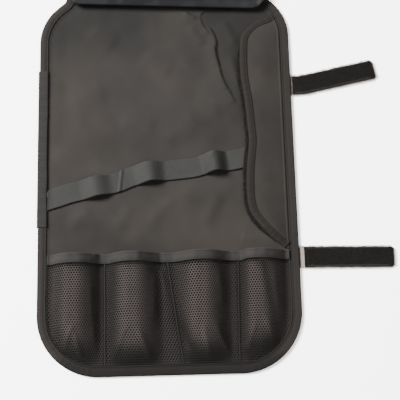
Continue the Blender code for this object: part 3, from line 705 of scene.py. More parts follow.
@dataclass(frozen=True)
class Sheet:
    """The body, neck and flap as one flat drawing, and how it is bent over its fold.

    Attributes:
        width: The body's width.
        shoulder: Height up the roll where the neck starts.
        thickness: The padded cloth's thickness.
        fold_radius: Radius of the fold's outer face.
        fold_turn: How far the flap turns back.
        flap: The flap's length past the fold.
        binding: Width of the edge binding.
        tape: Thickness of the tapes.
        clearance: Gap between pieces.
    """

    width: float = 304 * MM
    shoulder: float = 460 * MM
    foot_radius: float = 71 * MM
    slope: float = float(np.radians(40))
    head_share: float = 0.794
    shoulder_share: float = 0.106
    neck_width: float = 245 * MM
    neck_shift: float = 2.5 * MM
    neck_length: float = 40 * MM
    thickness: float = 2.0 * MM
    fold_radius: float = 10 * MM
    fold_turn: float = float(np.radians(187))
    flap: float = 53 * MM
    flap_skew: float = 12 * MM
    flap_corner: float = 18 * MM
    binding: float = 10.5 * MM
    tape: float = 0.8 * MM
    clearance: float = 0.3 * MM
    side_clearance: float = 0.8 * MM
    rim_ramp: float = 3.6 * MM

    @property
    def rim_lift(self) -> float:
        """Height of the panel's rim, which the binding's lower leg passes under."""
        return self.tape + self.clearance

    @property
    def binding_height(self) -> float:
        """Height of the folded binding over both its legs and the panel."""
        return 2 * self.rim_lift + self.thickness

    @property
    def half(self) -> float:
        """Half the body's width."""
        return self.width / 2

    @property
    def inner_half(self) -> float:
        """Half the width between the bindings' inner lines."""
        return self.half - self.binding - self.side_clearance

    @property
    def fold_start(self) -> float:
        """Where the fold starts along the flat drawing."""
        return self.shoulder + self.neck_length

    @property
    def fold_end(self) -> float:
        """Where the fold ends along the flat drawing."""
        return self.fold_start + self.fold_radius * self.fold_turn

    @property
    def length(self) -> float:
        """Length of the flat drawing, foot to flap's end."""
        return self.fold_end + self.flap

    def side(self, way: int, fine: int = 1) -> np.ndarray:
        """One side of the outline, from the foot to the flap's end.

        Args:
            way: 1 for the right side and -1 for the left.
            fine: How many times more segments the arcs get.

        Returns:
            The side's corners in the flat drawing: straight runs joined by arcs.
        """
        neck = self.neck_shift + way * self.neck_width / 2
        edge = way * self.half
        end = self.length + way * self.flap_skew / 2
        run = (self.half - self.neck_width / 2 - abs(self.neck_shift)) / np.cos(self.slope)
        unit = run / np.tan((np.pi / 2 - self.slope) / 2)
        head = self.shoulder - abs(edge - neck) * np.tan(self.slope)
        foot = fillet((0, 0), (edge, 0), (edge, head), self.foot_radius, 11 * fine)
        top = fillet((edge, 0), (edge, head), (neck, self.shoulder), self.head_share * unit, 6 * fine)
        neck_arc = fillet((edge, head), (neck, self.shoulder), (neck, self.fold_start),
                          self.shoulder_share * unit, 4 * fine)
        corner = fillet((neck, self.fold_end), (neck, end), (self.neck_shift, self.length),
                        self.flap_corner, 5 * fine)
        return np.vstack([foot, top, neck_arc, [(neck, self.fold_start), (neck, self.fold_end)], corner])

    def outline(self, count: int) -> np.ndarray:
        """The whole outline, counter-clockwise, at even steps."""
        right, left = self.side(1, 4), self.side(-1, 4)
        loop = np.vstack([right, left[::-1], right[:1]])
        return resample(loop, count + 1)[:-1]

    def lay(self, x: np.ndarray, s: np.ndarray, h: np.ndarray) -> np.ndarray:
        """Bend flat places over the fold and put them in the roll's frame.

        Past the fold's start the back face turns on an arc of the fold's
        radius, h stands inside it, and past its end the flap runs straight.

        Args:
            x: Place across.
            s: Place along the flat drawing.
            h: Height above the back face.

        Returns:
            The points.
        """
        turn = np.clip((s - self.fold_start) / self.fold_radius, 0, self.fold_turn)
        tail = np.maximum(s - self.fold_end, 0)
        y = (np.minimum(s, self.fold_start) + self.fold_radius * np.sin(turn)
             + tail * np.cos(self.fold_turn) - h * np.sin(turn))
        z = self.fold_radius * (1 - np.cos(turn)) + tail * np.sin(self.fold_turn) + h * np.cos(turn)
        x = x + 0 * y
        return np.stack([x, y - self.shoulder / 2, z + 0 * x], axis=-1)

    def rim_distance(self, x: np.ndarray, s: np.ndarray) -> np.ndarray:
        """Distance from each flat place to the outline's nearest segment."""
        start = self.outline(220)
        along = np.roll(start, -1, axis=0) - start
        square = np.sum(along**2, axis=-1)
        flat = np.stack(np.broadcast_arrays(x, s), axis=-1)
        parts = []
        for part in np.array_split(flat.reshape(-1, 2), max(1, flat.size // 40000)):
            away = part[:, None] - start
            share = np.clip(np.sum(away * along, axis=-1) / square, 0, 1)
            parts.append(np.linalg.norm(away - share[..., None] * along, axis=-1).min(axis=-1))
        return np.concatenate(parts).reshape(flat.shape[:-1])

    def crease_cross(self, crease: Crease, x: np.ndarray, s: np.ndarray) -> tuple[np.ndarray, np.ndarray]:
        """Where flat places lie across a crease, and how full it is there.

        The crease's line bows by the sine of its run. It is full along its
        middle half, eases out to both ends and dies away beyond them.

        Args:
            crease: The crease.
            x: Place across.
            s: Place along.

        Returns:
            The distance to the crease's left, and its fullness from 0 to 1.
        """
        start = np.array([crease.x0, crease.up0]) * MM
        run = np.array([crease.x1, crease.up1]) * MM - start
        length = np.linalg.norm(run)
        along = ((x - start[0]) * run[0] + (s - start[1]) * run[1]) / length**2
        t = np.clip(along, 0, 1)
        aside = ((s - start[1]) * run[0] - (x - start[0]) * run[1]) / length
        ends = 0.1 + 0.9 * smoothstep(t / 0.25) * smoothstep((1 - t) / 0.25)
        fade = ends * bell(np.abs(along - t) * length, 6 * MM)
        return aside - crease.bow * MM * np.sin(np.pi * t), fade

    def crease_painted_shade(self, x: np.ndarray, s: np.ndarray) -> np.ndarray:
        """Painted shade along the sharp creases, at each flat place: a narrow bell right of each sharp drop, and a
        broad one.
        """
        sharp = [crease for crease in CREASES if crease.drop > 0]
        crossed = [self.crease_cross(crease, x, s) for crease in sharp]
        lines = sum(0.5 * bell(aside - 0.5 * MM, 1.5 * MM) * fade for aside, fade in crossed)
        shades = sum(0.45 * bell(aside - 4 * MM, 4 * MM) * fade for aside, fade in crossed)
        return np.clip(lines + shades, 0, 1)

    def relief(self, x: np.ndarray, s: np.ndarray) -> np.ndarray:
        """Rise of the panel's face from its swells and creases.

        Two soft noises make the swells. A soft fold is a broad bell across its
        line, and a sharp crease is the bell's left half with an eased drop on
        the line. All of it fades out at the rim and over the pockets' foot.

        Args:
            x: Place across.
            s: Place along.

        Returns:
            The rise, never under 0.
        """
        swell = 0.45 * (1 + Undulation(5, 30 * MM)(x, s)) + 0.22 * (1 + Undulation(8, 13 * MM)(x, s))
        rise = swell * 1.25 * MM
        for crease in CREASES:
            aside, fade = self.crease_cross(crease, x, s)
            step = smoothstep(0.5 - aside / (1.7 * crease.drop * MM)) if crease.drop else 1.0
            rise = rise + crease.height * MM * bell(aside, crease.width * MM) * step * fade
        inner = smoothstep((self.rim_distance(x, s) - self.binding - 1 * MM) / (12 * MM))
        above = smoothstep((s - 146 * MM) / (14 * MM))
        return np.maximum(rise, 0) * inner * above

    def face(self, x: np.ndarray, s: np.ndarray, relief: bool = True) -> np.ndarray:
        """Height just clear of the panel's face, ramping up to the binding's seat."""
        ramp = np.clip(1 - (self.rim_distance(x, s) - self.binding) / self.rim_ramp, 0, 1)
        level = self.thickness + self.clearance + self.rim_lift * ramp
        return level + self.relief(x, s) if relief else level

    def inner_side(self, s: np.ndarray) -> np.ndarray:
        """Place across of the right binding's inner line, at heights up the roll."""
        loop = offset_loop(self.outline(900), self.binding + self.side_clearance)
        right = loop[(loop[:, 0] > 0) & (loop[:, 1] < self.fold_start)]
        right = right[np.argsort(right[:, 1])]
        return np.interp(s, right[:, 1], right[:, 0])

    def inner_foot(self, x: np.ndarray) -> np.ndarray:
        """Height up the roll of the foot binding's inner line, under each x: a line and two arcs."""
        inset = self.binding + self.side_clearance
        radius = self.foot_radius - inset
        past = np.clip(np.abs(x) - (self.half - self.foot_radius), 0, radius)
        return inset + radius - np.sqrt(np.maximum(radius**2 - past**2, 0))


@dataclass(frozen=True)
class MainPanel:
    """The padded cloth sheet: body, neck and folded flap.

    Attributes:
        sheet: The flat drawing.
        rows: Grid rows along the sheet, closer where it is creased.
        columns: Grid columns across it, closer where it is creased.
        pucker: Height of the puckers beside the binding.
    """

    sheet: Sheet
    rows: int = 268
    columns: int = 170
    pucker: float = 0.45 * MM

    def flap_relief(self, x: np.ndarray, s: np.ndarray) -> np.ndarray:
        """Rise of the flap's outer face: soft noise, and a roll along its free edge."""
        sheet = self.sheet
        swell = 0.5 * (1 + Undulation(21, 34 * MM)(x, s)) + 0.25 * (1 + Undulation(22, 15 * MM)(x, s))
        on_flap = smoothstep((s - sheet.fold_end + 8 * MM) / (20 * MM))
        inner = smoothstep((sheet.rim_distance(x, s) - sheet.binding) / (9 * MM))
        return 1.1 * MM * swell * on_flap * inner

    @staticmethod
    def packed(place: np.ndarray, density: np.ndarray, count: int) -> np.ndarray:
        """Places along a run, packed closer where the density is higher: equal shares of its sum."""
        total = np.concatenate([[0.0], np.cumsum((density[1:] + density[:-1]) / 2)])
        return np.interp(np.linspace(0, total[-1], count), total, place)

    def shell(self) -> Shell:
        """Rows of points between the two sides of the outline, as an upper and a lower face.

        Each row runs straight from the left side to the right one. Near the rim
        the sheet rises to the binding's seat, with puckers that run with the
        sine of the rim's length.

        Returns:
            The closed shell.
        """
        sheet = self.sheet
        right = resample(sheet.side(1, 4), 900)
        left = resample(sheet.side(-1, 4), 900)
        loop = np.vstack([right, left[::-1]])
        inset = offset_loop(loop, sheet.rim_lift)
        up = right[:, 1] / MM
        station = np.arange(900)
        pick = self.packed(station, 0.35 + 0.65 * (up > 136) + 1.5 * ((up > 300) & (up < 462))
                           + 1.6 * ((up > 498) & (up < 536)), self.rows)
        rows_right, rows_left = (np.stack([np.interp(pick, station, side[:, k]) for k in (0, 1)], axis=1)
                                 for side in (inset[:900], inset[900:][::-1]))
        fine = np.linspace(0, 1, 900)
        share = self.packed(fine, 1 + 2.6 * (np.abs(fine - 0.69) < 0.12) + 1.0 * (np.abs(fine - 0.5) > 0.44),
                            self.columns)
        flat = rows_left[:, None] * (1 - share[None, :, None]) + rows_right[:, None] * share[None, :, None]
        x, s = flat[..., 0], flat[..., 1]
        away = sheet.rim_distance(x, s)
        seat = sheet.rim_lift * np.clip(1 - (away - sheet.binding) / sheet.rim_ramp, 0, 1)
        ripple = (0.5 + 0.5 * np.sin((x + s) / (1.45 * MM) + 3 * Undulation(3, 20 * MM)(x, s)))
        beside = bell(away - sheet.binding - 4 * MM, 3.5 * MM) * ripple * self.pucker
        above = smoothstep((s - 146 * MM) / (14 * MM)) * smoothstep((sheet.fold_start - s) / (10 * MM))
        top = sheet.thickness + seat + sheet.relief(x, s) * (s < sheet.fold_start) + beside * above
        outer = seat - self.flap_relief(x, s)
        # Painted shade: a dark line just inside the binding, where it stands over the panel.
        seam = 0.3 * bell(away - sheet.binding - 0.6 * MM, 1.6 * MM)
        # Painted shade along the creases.
        seam = np.maximum(seam, sheet.crease_painted_shade(x, s) * (s < sheet.fold_start))
        # Painted shade: darker towards the top, under the folded flap, and beside the guard flap; the mottle is random
        # darker tone.
        guard_side_shade = bell(x - 90 * MM, 24 * MM) * smoothstep((s - 280 * MM) / (60 * MM))
        mottle = 0.16 * np.clip(Undulation(32, 34 * MM)(x, s) + 0.2, 0, 1)
        corners = smoothstep((s - 350 * MM) / (80 * MM)) * (1 - 0.65 * bell(x - 8 * MM, 45 * MM))
        shade_and_mottle = 0.60 * corners + 0.5 * guard_side_shade + mottle
        seam = np.maximum(seam, np.minimum(shade_and_mottle, 0.8) * (s < sheet.fold_start))
        # Painted shade: the panel is dark under the pockets' net.
        seam = np.maximum(seam, smoothstep((138 * MM - s) / (3 * MM)))
        shade = Undulation(31, 22 * MM)(x, s)
        wear_and_highlight = 0.16 * np.clip(shade, 0, 1) * above
        return two_faced(sheet.lay(x, s, top), sheet.lay(x, s, outer), flat, wear_and_highlight, seam)

    def build(self, wardrobe: Wardrobe) -> bpy.types.Object:
        """Build the panel, with the outer cloth on its lower face.

        Args:
            wardrobe: The finishes.

        Returns:
            The piece.
        """
        shell = self.shell()
        face = (self.rows - 1) * (self.columns - 1)
        number = np.arange(len(shell.quads))
        piece = make_piece("panel_cloth", shell, [wardrobe.lining, wardrobe.outer], number >= face)
        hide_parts("main_panel")
        return piece


@dataclass(frozen=True)
class EdgeBinding:
    """The tape folded round the sheet's whole rim, with its row of stitches.

    Attributes:
        sheet: The flat drawing.
        stations: Rings round the rim.
        stitch_inset: How far the stitching runs from the tape's inner edge.
    """

    sheet: Sheet
    stations: int = 780
    stitch_inset: float = 2.4 * MM

    def profile(self) -> tuple[np.ndarray, np.ndarray]:
        """The tape's C profile: under leg, round the rim, upper leg, and back inside.

        Returns:
            Distance in from the rim and height, a corner a row.
        """
        sheet = self.sheet
        tape, top, width = sheet.tape, sheet.binding_height, sheet.binding
        across = np.array([2.2, 3.6, 5.2, 6.8, 7.6, 8.1, 8.6, 9.4]) * MM
        crown = 0.30 * MM * np.sin(np.pi * (across - 2.2 * MM) / (5.9 * MM)) * (across < 8.1 * MM)
        groove = 0.30 * MM * bell(across - (width - self.stitch_inset), 0.55 * MM)
        under = [(width, 0.0), (width * 0.5, 0.0), (1.4 * MM, 0.0), (0.45 * MM, 0.35 * MM), (0.0, 1.2 * MM),
                 (0.0, top - 1.2 * MM), (0.45 * MM, top - 0.35 * MM), (1.2 * MM, top - 0.05 * MM)]
        upper = list(zip(across, top + crown - groove))
        lip = [(width - 0.25 * MM, top - 0.08 * MM), (width, top - 0.4 * MM), (width - 0.2 * MM, top - tape)]
        inside = [(width * 0.5, top - tape), (tape, top - tape), (tape, tape), (width * 0.5, tape), (width, tape)]
        table = np.array(under + upper + lip + inside)
        return table[:, 0], table[:, 1]

    def build(self, wardrobe: Wardrobe) -> bpy.types.Object:
        """Carry the profile round the rim.

        The upper leg rises and falls along the rim by a mix of two sines, more
        on the curves, as a straight tape does where it is eased round them.

        Args:
            wardrobe: The finishes.

        Returns:
            The piece; its stitches are made as a piece of their own.
        """
        sheet = self.sheet
        loop = sheet.outline(self.stations)
        step = np.linalg.norm(np.roll(loop, -1, axis=0) - loop, axis=1).mean()
        run = np.arange(self.stations) * step
        heading = np.unwrap(np.arctan2(*(np.roll(loop, -1, axis=0) - loop).T[::-1]))
        curve = np.abs(np.gradient(heading) / step)
        easing = smoothstep(np.convolve(np.tile(curve, 3), np.ones(9) / 9, "same")
                            [self.stations:2 * self.stations] * 60 * MM)
        noise = Undulation(41, 9 * MM)(run, 0 * run)
        ripple = np.sin(run / (1.15 * MM) + 2.2 * noise) * (0.09 + 0.22 * easing) + 0.14 * noise
        inward, height = self.profile()
        upper = smoothstep((height - sheet.binding_height / 2) / (0.4 * MM)) * smoothstep(inward / (1.5 * MM))
        upper = upper * smoothstep((sheet.binding + 0.5 * MM - inward) / (2 * MM))
        rings, uv, wear_and_highlight, seam = [], [], [], []
        skin = np.concatenate([[0.0], np.cumsum(np.hypot(np.diff(inward), np.diff(height)))])
        for k in range(len(inward)):
            wobble = 0.22 * MM * Undulation(43, 14 * MM)(run, 0 * run) * (inward[k] > 9 * MM)
            flat = offset_loop(loop, inward[k] + wobble)
            lift = height[k] + np.clip(ripple, -0.3, 1) * 0.9 * MM * upper[k]
            rings.append(sheet.lay(flat[:, 0], flat[:, 1], lift))
            uv.append(np.stack([run, np.full_like(run, skin[k])], axis=1))
            crest = bell(inward[k] - 2.4 * MM, 1.6 * MM) * (height[k] > 2 * MM)
            # Painted highlight on the flap's bound end: soft patches, growing lighter towards the right.
            flap_band_highlight = 0.55 * smoothstep(2.5 * Undulation(45, 9 * MM)(flat[:, 0], flat[:, 1]) - 0.4)
            flap_band_highlight = (flap_band_highlight + 0.5 * smoothstep((flat[:, 0] - 10 * MM) / (90 * MM))).clip(0, 1)
            on_end = (flat[:, 1] > sheet.fold_end + 15 * MM) * (height[k] < 2 * MM)
            wear_and_highlight.append(0.22 * crest * (0.6 + 0.4 * Undulation(44, 18 * MM)(run, 0 * run)) + flap_band_highlight * on_end)
            # Painted shade on the binding: in its stitching groove, along its outer edge, at its inner lip and towards
            # the foot.
            groove = 0.5 * bell(inward[k] - sheet.binding + self.stitch_inset, 0.7 * MM) * (height[k] > 2 * MM)
            rim = 0.9 * bell(inward[k], 0.9 * MM)
            lip = 0.6 * bell(inward[k] - sheet.binding, 0.8 * MM)
            foot_shade = (0.7 + 0.3 * bell(inward[k], 2.2 * MM)) * smoothstep((28 * MM - flat[:, 1]) / (14 * MM))
            seam.append(np.maximum(max(groove, rim, lip), foot_shade))
        shell = swept(np.stack(rings, axis=1), True, np.stack(uv, axis=1),
                      np.stack(wear_and_highlight, axis=1), np.stack(seam, axis=1))
        middle = shell.points[shell.quads].mean(axis=1)
        end_width = sheet.neck_width / 2 - sheet.binding
        on_flap_end = (middle[:, 2] > sheet.fold_radius) & (np.abs(middle[:, 0] - sheet.neck_shift) < end_width)
        piece = make_piece("rim_binding", shell, [wardrobe.tape, wardrobe.outer], on_flap_end)
        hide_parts("edge_binding")
        line = offset_loop(loop, sheet.binding - self.stitch_inset)
        line = np.vstack([line, line[:1]])
        level = sheet.binding_height - 0.30 * MM
        path = sheet.lay(line[:, 0], line[:, 1], level)
        normal = sheet.lay(line[:, 0], line[:, 1], level + 1 * MM) - path
        sewn = make_piece("rim_stitches", stitches(path, normal, 3.4 * MM, 2.7 * MM, 0.28 * MM),
                          [wardrobe.thread])
        return piece


@dataclass(frozen=True)
class LeftTape:
    """Ribbed tape over the left edge, with a lip down its outer side.

    Attributes:
        sheet: The flat drawing.
        foot: Height up the roll of its lower end.
        length: Its length.
        width: Its width over the edge.
        lip: How far it comes down outside.
        rib: Pitch of its ribs, drawn as coarse as it needs to show.
    """

    sheet: Sheet
    foot: float = 174 * MM
    length: float = 194 * MM
    width: float = 11.2 * MM
    lip: float = 3.4 * MM
    rib: float = 1.7 * MM

    def build(self, wardrobe: Wardrobe) -> bpy.types.Object:
        """Carry an L profile up the edge, its outer face ribbed by the sine of the run.

        Args:
            wardrobe: The finishes.

        Returns:
            The piece.
        """
        sheet = self.sheet
        count = int(self.length / self.rib * 6)
        run = np.linspace(0, self.length, count)
        outer = -sheet.half - sheet.clearance
        inner = -sheet.half + self.width - sheet.tape
        floor = sheet.binding_height + sheet.clearance + 0.35 * MM
        low = sheet.binding_height - self.lip
        tape = sheet.tape
        top = floor + tape
        skin = [(inner, floor), (outer + 0.6 * MM, floor), (outer, floor - 0.5 * MM), (outer, low),
                (outer - tape, low), (outer - tape, floor - 0.2 * MM), (outer - 0.75 * tape, top - 0.35 * MM),
                (outer - 0.1 * tape, top - 0.08 * MM), (outer + 1.5 * MM, top), (outer + 3.5 * MM, top + 0.1 * MM),
                (outer + 5.5 * MM, top + 0.15 * MM), (outer + 7.5 * MM, top + 0.12 * MM),
                (inner - 1.6 * MM, top - 0.05 * MM), (inner - 0.4 * MM, top - 0.15 * MM), (inner, top - 0.45 * MM)]
        x, h = np.array(skin).T
        outside = np.array([0, 0, 0, 0, 0.3, 1, 1, 1, 1, 1, 1, 1, 1, 0.8, 0.3])
        ribs = 0.12 * MM * np.cos(2 * np.pi * run / self.rib)
        ends = edge_share(run, self.length, 1.2 * MM)
        way = np.where(np.arange(len(x)) < 7, 0.0, 1.0)
        across = x[None] - ribs[:, None] * outside * (1 - way)
        height = floor + (h[None] - floor) * np.where(h > floor, ends[:, None], 1.0)
        height = height + ribs[:, None] * outside * way
        height = height + 0.25 * MM * Undulation(51, 16 * MM)(run, 0 * run)[:, None] * (h > floor - 0.1 * MM)
        across = across + 0.25 * MM * Undulation(52, 20 * MM)(run, 0 * run)[:, None] * (x > inner - 2 * MM)
        s = np.broadcast_to((self.foot + run)[:, None], across.shape)
        round_skin = np.concatenate([[0.0], np.cumsum(np.hypot(np.diff(x), np.diff(h)))])
        uv = np.stack(np.broadcast_arrays(run[:, None], round_skin[None]), axis=-1)
        # Painted highlight on the rib crests and painted shade between the ribs, over a darker tone.
        wear_and_highlight = 0.2 * smoothstep((ribs / (0.12 * MM))[:, None]) * outside
        shell = swept(sheet.lay(across, s, height), False, uv, wear_and_highlight, 0.6 - 1.2 * wear_and_highlight.clip(0, 0.5))
        piece = make_piece("left_ribbed_tape", shell, [wardrobe.webbing])
        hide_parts("left_edge_tape")
        return piece


# Pockets

class Seam(NamedTuple):
    """A divider seam's place across, as shares of the body's width, at the hem and the foot."""

    hem: float
    foot: float


class Fullness(NamedTuple):
    """A pocket's crest, at the hem and the foot, its height, and the run its pouch fills over."""

    hem: float
    foot: float
    height: float
    pouch: float


class Fold(NamedTuple):
    """A fold in a pocket's net, in mm: its ends across and up, height and width."""

    x0: float
    up0: float
    x1: float
    up1: float
    height: float
    width: float


DIVIDERS = (Seam(hem=-0.243, foot=-0.243), Seam(hem=-0.010, foot=0.056), Seam(hem=0.266, foot=0.259))

POCKETS = (
    Fullness(hem=-0.358, foot=-0.366, height=0.94, pouch=0.242),
    Fullness(hem=-0.138, foot=-0.138, height=1.00, pouch=0.192),
    Fullness(hem=0.126, foot=0.117, height=1.00, pouch=0.202),
    Fullness(hem=0.343, foot=0.330, height=0.96, pouch=0.262),
)

NET_FOLDS = (
    Fold(x0=-122, up0=26, x1=-106, up1=62, height=2.6, width=3.6),
    Fold(x0=-98, up0=16, x1=-108, up1=54, height=2.4, width=3.2),
    Fold(x0=-86, up0=30, x1=-90, up1=118, height=1.8, width=3.6),
    Fold(x0=-134, up0=60, x1=-130, up1=120, height=1.2, width=4.0),
    Fold(x0=-64, up0=14, x1=-48, up1=60, height=2.6, width=3.6),
    Fold(x0=-20, up0=14, x1=-36, up1=56, height=2.6, width=3.6),
    Fold(x0=-62, up0=70, x1=-59, up1=126, height=1.6, width=3.8),
    Fold(x0=-18, up0=60, x1=-16, up1=122, height=1.6, width=3.8),
    Fold(x0=-10, up0=128, x1=2, up1=80, height=2.2, width=3.2),
    Fold(x0=1, up0=88, x1=22, up1=16, height=2.6, width=3.4),
    Fold(x0=46, up0=14, x1=38, up1=58, height=2.2, width=3.4),
    Fold(x0=68, up0=18, x1=50, up1=62, height=2.4, width=3.6),
    Fold(x0=62, up0=70, x1=58, up1=126, height=1.7, width=3.8),
    Fold(x0=86, up0=20, x1=98, up1=60, height=2.5, width=3.4),
    Fold(x0=120, up0=30, x1=108, up1=66, height=2.5, width=3.6),
    Fold(x0=124, up0=66, x1=120, up1=122, height=1.7, width=3.8),
    Fold(x0=86, up0=74, x1=88, up1=124, height=1.4, width=3.4),
)


class PaintedShade(NamedTuple):
    """A place where shade is painted on the net, in mm: its ends across and up, its width
    and how dark it is."""

    x0: float
    up0: float
    x1: float
    up1: float
    width: float
    depth: float


NET_PAINTED_SHADES = (
    PaintedShade(x0=-123, up0=120, x1=-126, up1=40, width=5.0, depth=0.42),
    PaintedShade(x0=-122, up0=26, x1=-96, up1=22, width=13.0, depth=0.92),
    PaintedShade(x0=-90, up0=60, x1=-84, up1=124, width=6.0, depth=0.42),
    PaintedShade(x0=-64, up0=128, x1=-66, up1=30, width=6.5, depth=0.55),
    PaintedShade(x0=-60, up0=22, x1=-22, up1=18, width=13.0, depth=0.92),
    PaintedShade(x0=-14, up0=60, x1=-18, up1=120, width=5.5, depth=0.42),
    PaintedShade(x0=2, up0=126, x1=8, up1=62, width=7.5, depth=0.55),
    PaintedShade(x0=8, up0=66, x1=30, up1=22, width=8.0, depth=0.82),
    PaintedShade(x0=26, up0=20, x1=60, up1=20, width=13.0, depth=0.92),
    PaintedShade(x0=62, up0=40, x1=60, up1=120, width=5.5, depth=0.42),
    PaintedShade(x0=86, up0=130, x1=85, up1=36, width=6.0, depth=0.6),
    PaintedShade(x0=88, up0=24, x1=118, up1=32, width=12.0, depth=0.92),
    PaintedShade(x0=108, up0=126, x1=121, up1=46, width=5.0, depth=0.75),
)


@dataclass(frozen=True)
class MeshPockets:
    """Four net pockets over the foot of the roll, their seams and their hem.

    Attributes:
        sheet: The flat drawing.
        height: Height of the pockets' mouths up the roll.
        cloth: Height of the net over the panel at its seams.
        bulge: Rise of the fullest pocket.
        cell: Spacing of the net's holes, drawn as coarse as they need to show.
        strand: Share of each cell that its strands fill, from its rim inwards.
        wall: The net's thickness.
        hem_width: Width of the band along the mouths.
        hem_wall: The band's thickness.
    """

    sheet: Sheet
    height: float = 140.5 * MM
    cloth: float = 1.2 * MM
    bulge: float = 17.5 * MM
    half_width: float = 31 * MM
    crest_spread: float = 1.12
    crest_fullness: float = 0.85
    pouch_fullness: float = 0.7
    seam_flat: float = 2.0 * MM
    seam_rise: float = 9.0 * MM
    cell: float = 3.1 * MM
    strand: float = 0.27
    wall: float = 0.5 * MM
    hem_width: float = 11.5 * MM
    hem_wall: float = 1.0 * MM
    hem_clearance: float = 0.4 * MM

    def rise(self, number: int, x: np.ndarray, s: np.ndarray) -> np.ndarray:
        """Rise of a pocket: an eased arch across its crest times an eased climb from its foot."""
        fullness = POCKETS[number]
        up = s / self.height
        crest = self.sheet.width * (fullness.foot + (fullness.hem - fullness.foot) * up)
        arch = smoothstep(self.crest_spread - np.abs(x - crest) / self.half_width) ** self.crest_fullness
        climb = smoothstep((s - self.sheet.inner_foot(x)) / (self.height * fullness.pouch))
        return self.bulge * fullness.height * arch * climb**self.pouch_fullness

    def divider(self, number: int, s: np.ndarray) -> np.ndarray:
        """Place across of a divider seam at a height up the roll: a straight line."""
        seam = DIVIDERS[number]
        return self.sheet.width * (seam.foot + (seam.hem - seam.foot) * s / self.height)

    def edges(self, number: int, s: np.ndarray) -> tuple[np.ndarray, np.ndarray]:
        """Left and right edges of a pocket at heights up the roll."""
        gap = self.sheet.clearance / 2
        inner = self.sheet.inner_half
        left = np.full_like(s, -inner) if number == 0 else self.divider(number - 1, s) + gap
        right = np.full_like(s, inner) if number == 3 else self.divider(number, s) - gap
        return left, right

    def folds(self, x: np.ndarray, s: np.ndarray) -> np.ndarray:
        """Height of the net's folds: bells across their lines, faded at both ends."""
        total = 0.0 * x
        for fold in NET_FOLDS:
            start = np.array([fold.x0, fold.up0]) * MM
            run = np.array([fold.x1, fold.up1]) * MM - start
            length = np.linalg.norm(run)
            along = ((x - start[0]) * run[0] + (s - start[1]) * run[1]) / length**2
            t = np.clip(along, 0, 1)
            aside = ((s - start[1]) * run[0] - (x - start[0]) * run[1]) / length
            ends = smoothstep(t / 0.3) * smoothstep((1 - t) / 0.3)
            total = total + fold.height * MM * bell(aside, fold.width * MM) * ends * (along == t)
        return total

    def shade(self, x: np.ndarray, s: np.ndarray) -> np.ndarray:
        """How much painted shade the net takes: bells about straight runs, the darkest one counting."""
        deepest = 0.0 * x
        for shade in NET_PAINTED_SHADES:
            start = np.array([shade.x0, shade.up0]) * MM
            run = np.array([shade.x1, shade.up1]) * MM - start
            t = np.clip(((x - start[0]) * run[0] + (s - start[1]) * run[1]) / (run @ run), 0, 1)
            away = np.hypot(x - start[0] - t * run[0], s - start[1] - t * run[1])
            deepest = np.maximum(deepest, shade.depth * bell(away, shade.width * MM))
        return deepest

    def level(self, number: int, x: np.ndarray, s: np.ndarray, loose: bool = True) -> np.ndarray:
        """Height of a pocket's net over the back face, pressed flat along its seams.

        Args:
            number: Which pocket.
            x: Place across.
            s: Place along.
            loose: Whether the net's folds and swells are added.

        Returns:
            The height.
        """
        left, right = self.edges(number, s)
        settle = smoothstep((np.minimum(x - left, right - x) - self.seam_flat) / self.seam_rise)
        rise = self.rise(number, x, s)
        if loose:
            below_hem = smoothstep((self.height - self.hem_width - s) / (14 * MM))
            swell = 0.7 * MM * Undulation(61 + number, 16 * MM)(x, s) * (rise > 0)
            rise = rise + (self.folds(x, s) + swell * smoothstep(rise / (6 * MM))) * below_hem
        return self.sheet.face(x, s, relief=False) + self.cloth + rise * settle

    def across(self, number: int, share: np.ndarray, up: np.ndarray) -> tuple[np.ndarray, np.ndarray]:
        """Map shares across and up a pocket to flat places.

        The share across is a share of the net's own length over the crest, at
        half height, so its holes keep their size on the slopes. The share up
        runs from the foot binding's inner line to the mouth in even steps.

        Args:
            number: Which pocket.
            share: Share across, 0 to 1.
            up: Share up, 0 to 1.

        Returns:
            x and s.
        """
        top = self.height - self.sheet.clearance
        middle = np.full(200, self.height / 2)
        left, right = self.edges(number, middle)
        probe = left + (right - left) * np.linspace(0, 1, 200)
        line = np.stack([probe, self.level(number, probe, middle, loose=False)], axis=1)
        run = lengths(line)
        even = np.interp(share * run[-1], run, np.linspace(0, 1, 200))
        left_foot, right_foot = (e[0] for e in self.edges(number, np.full(1, self.sheet.binding)))
        left_top, right_top = (e[0] for e in self.edges(number, np.full(1, top)))
        x_foot = left_foot + (right_foot - left_foot) * even
        x_top = left_top + (right_top - left_top) * even
        foot = self.sheet.binding + self.sheet.side_clearance
        s = foot + (top - foot) * up
        lean = (s - self.sheet.binding) / (top - self.sheet.binding)
        return x_foot + (x_top - x_foot) * lean, s

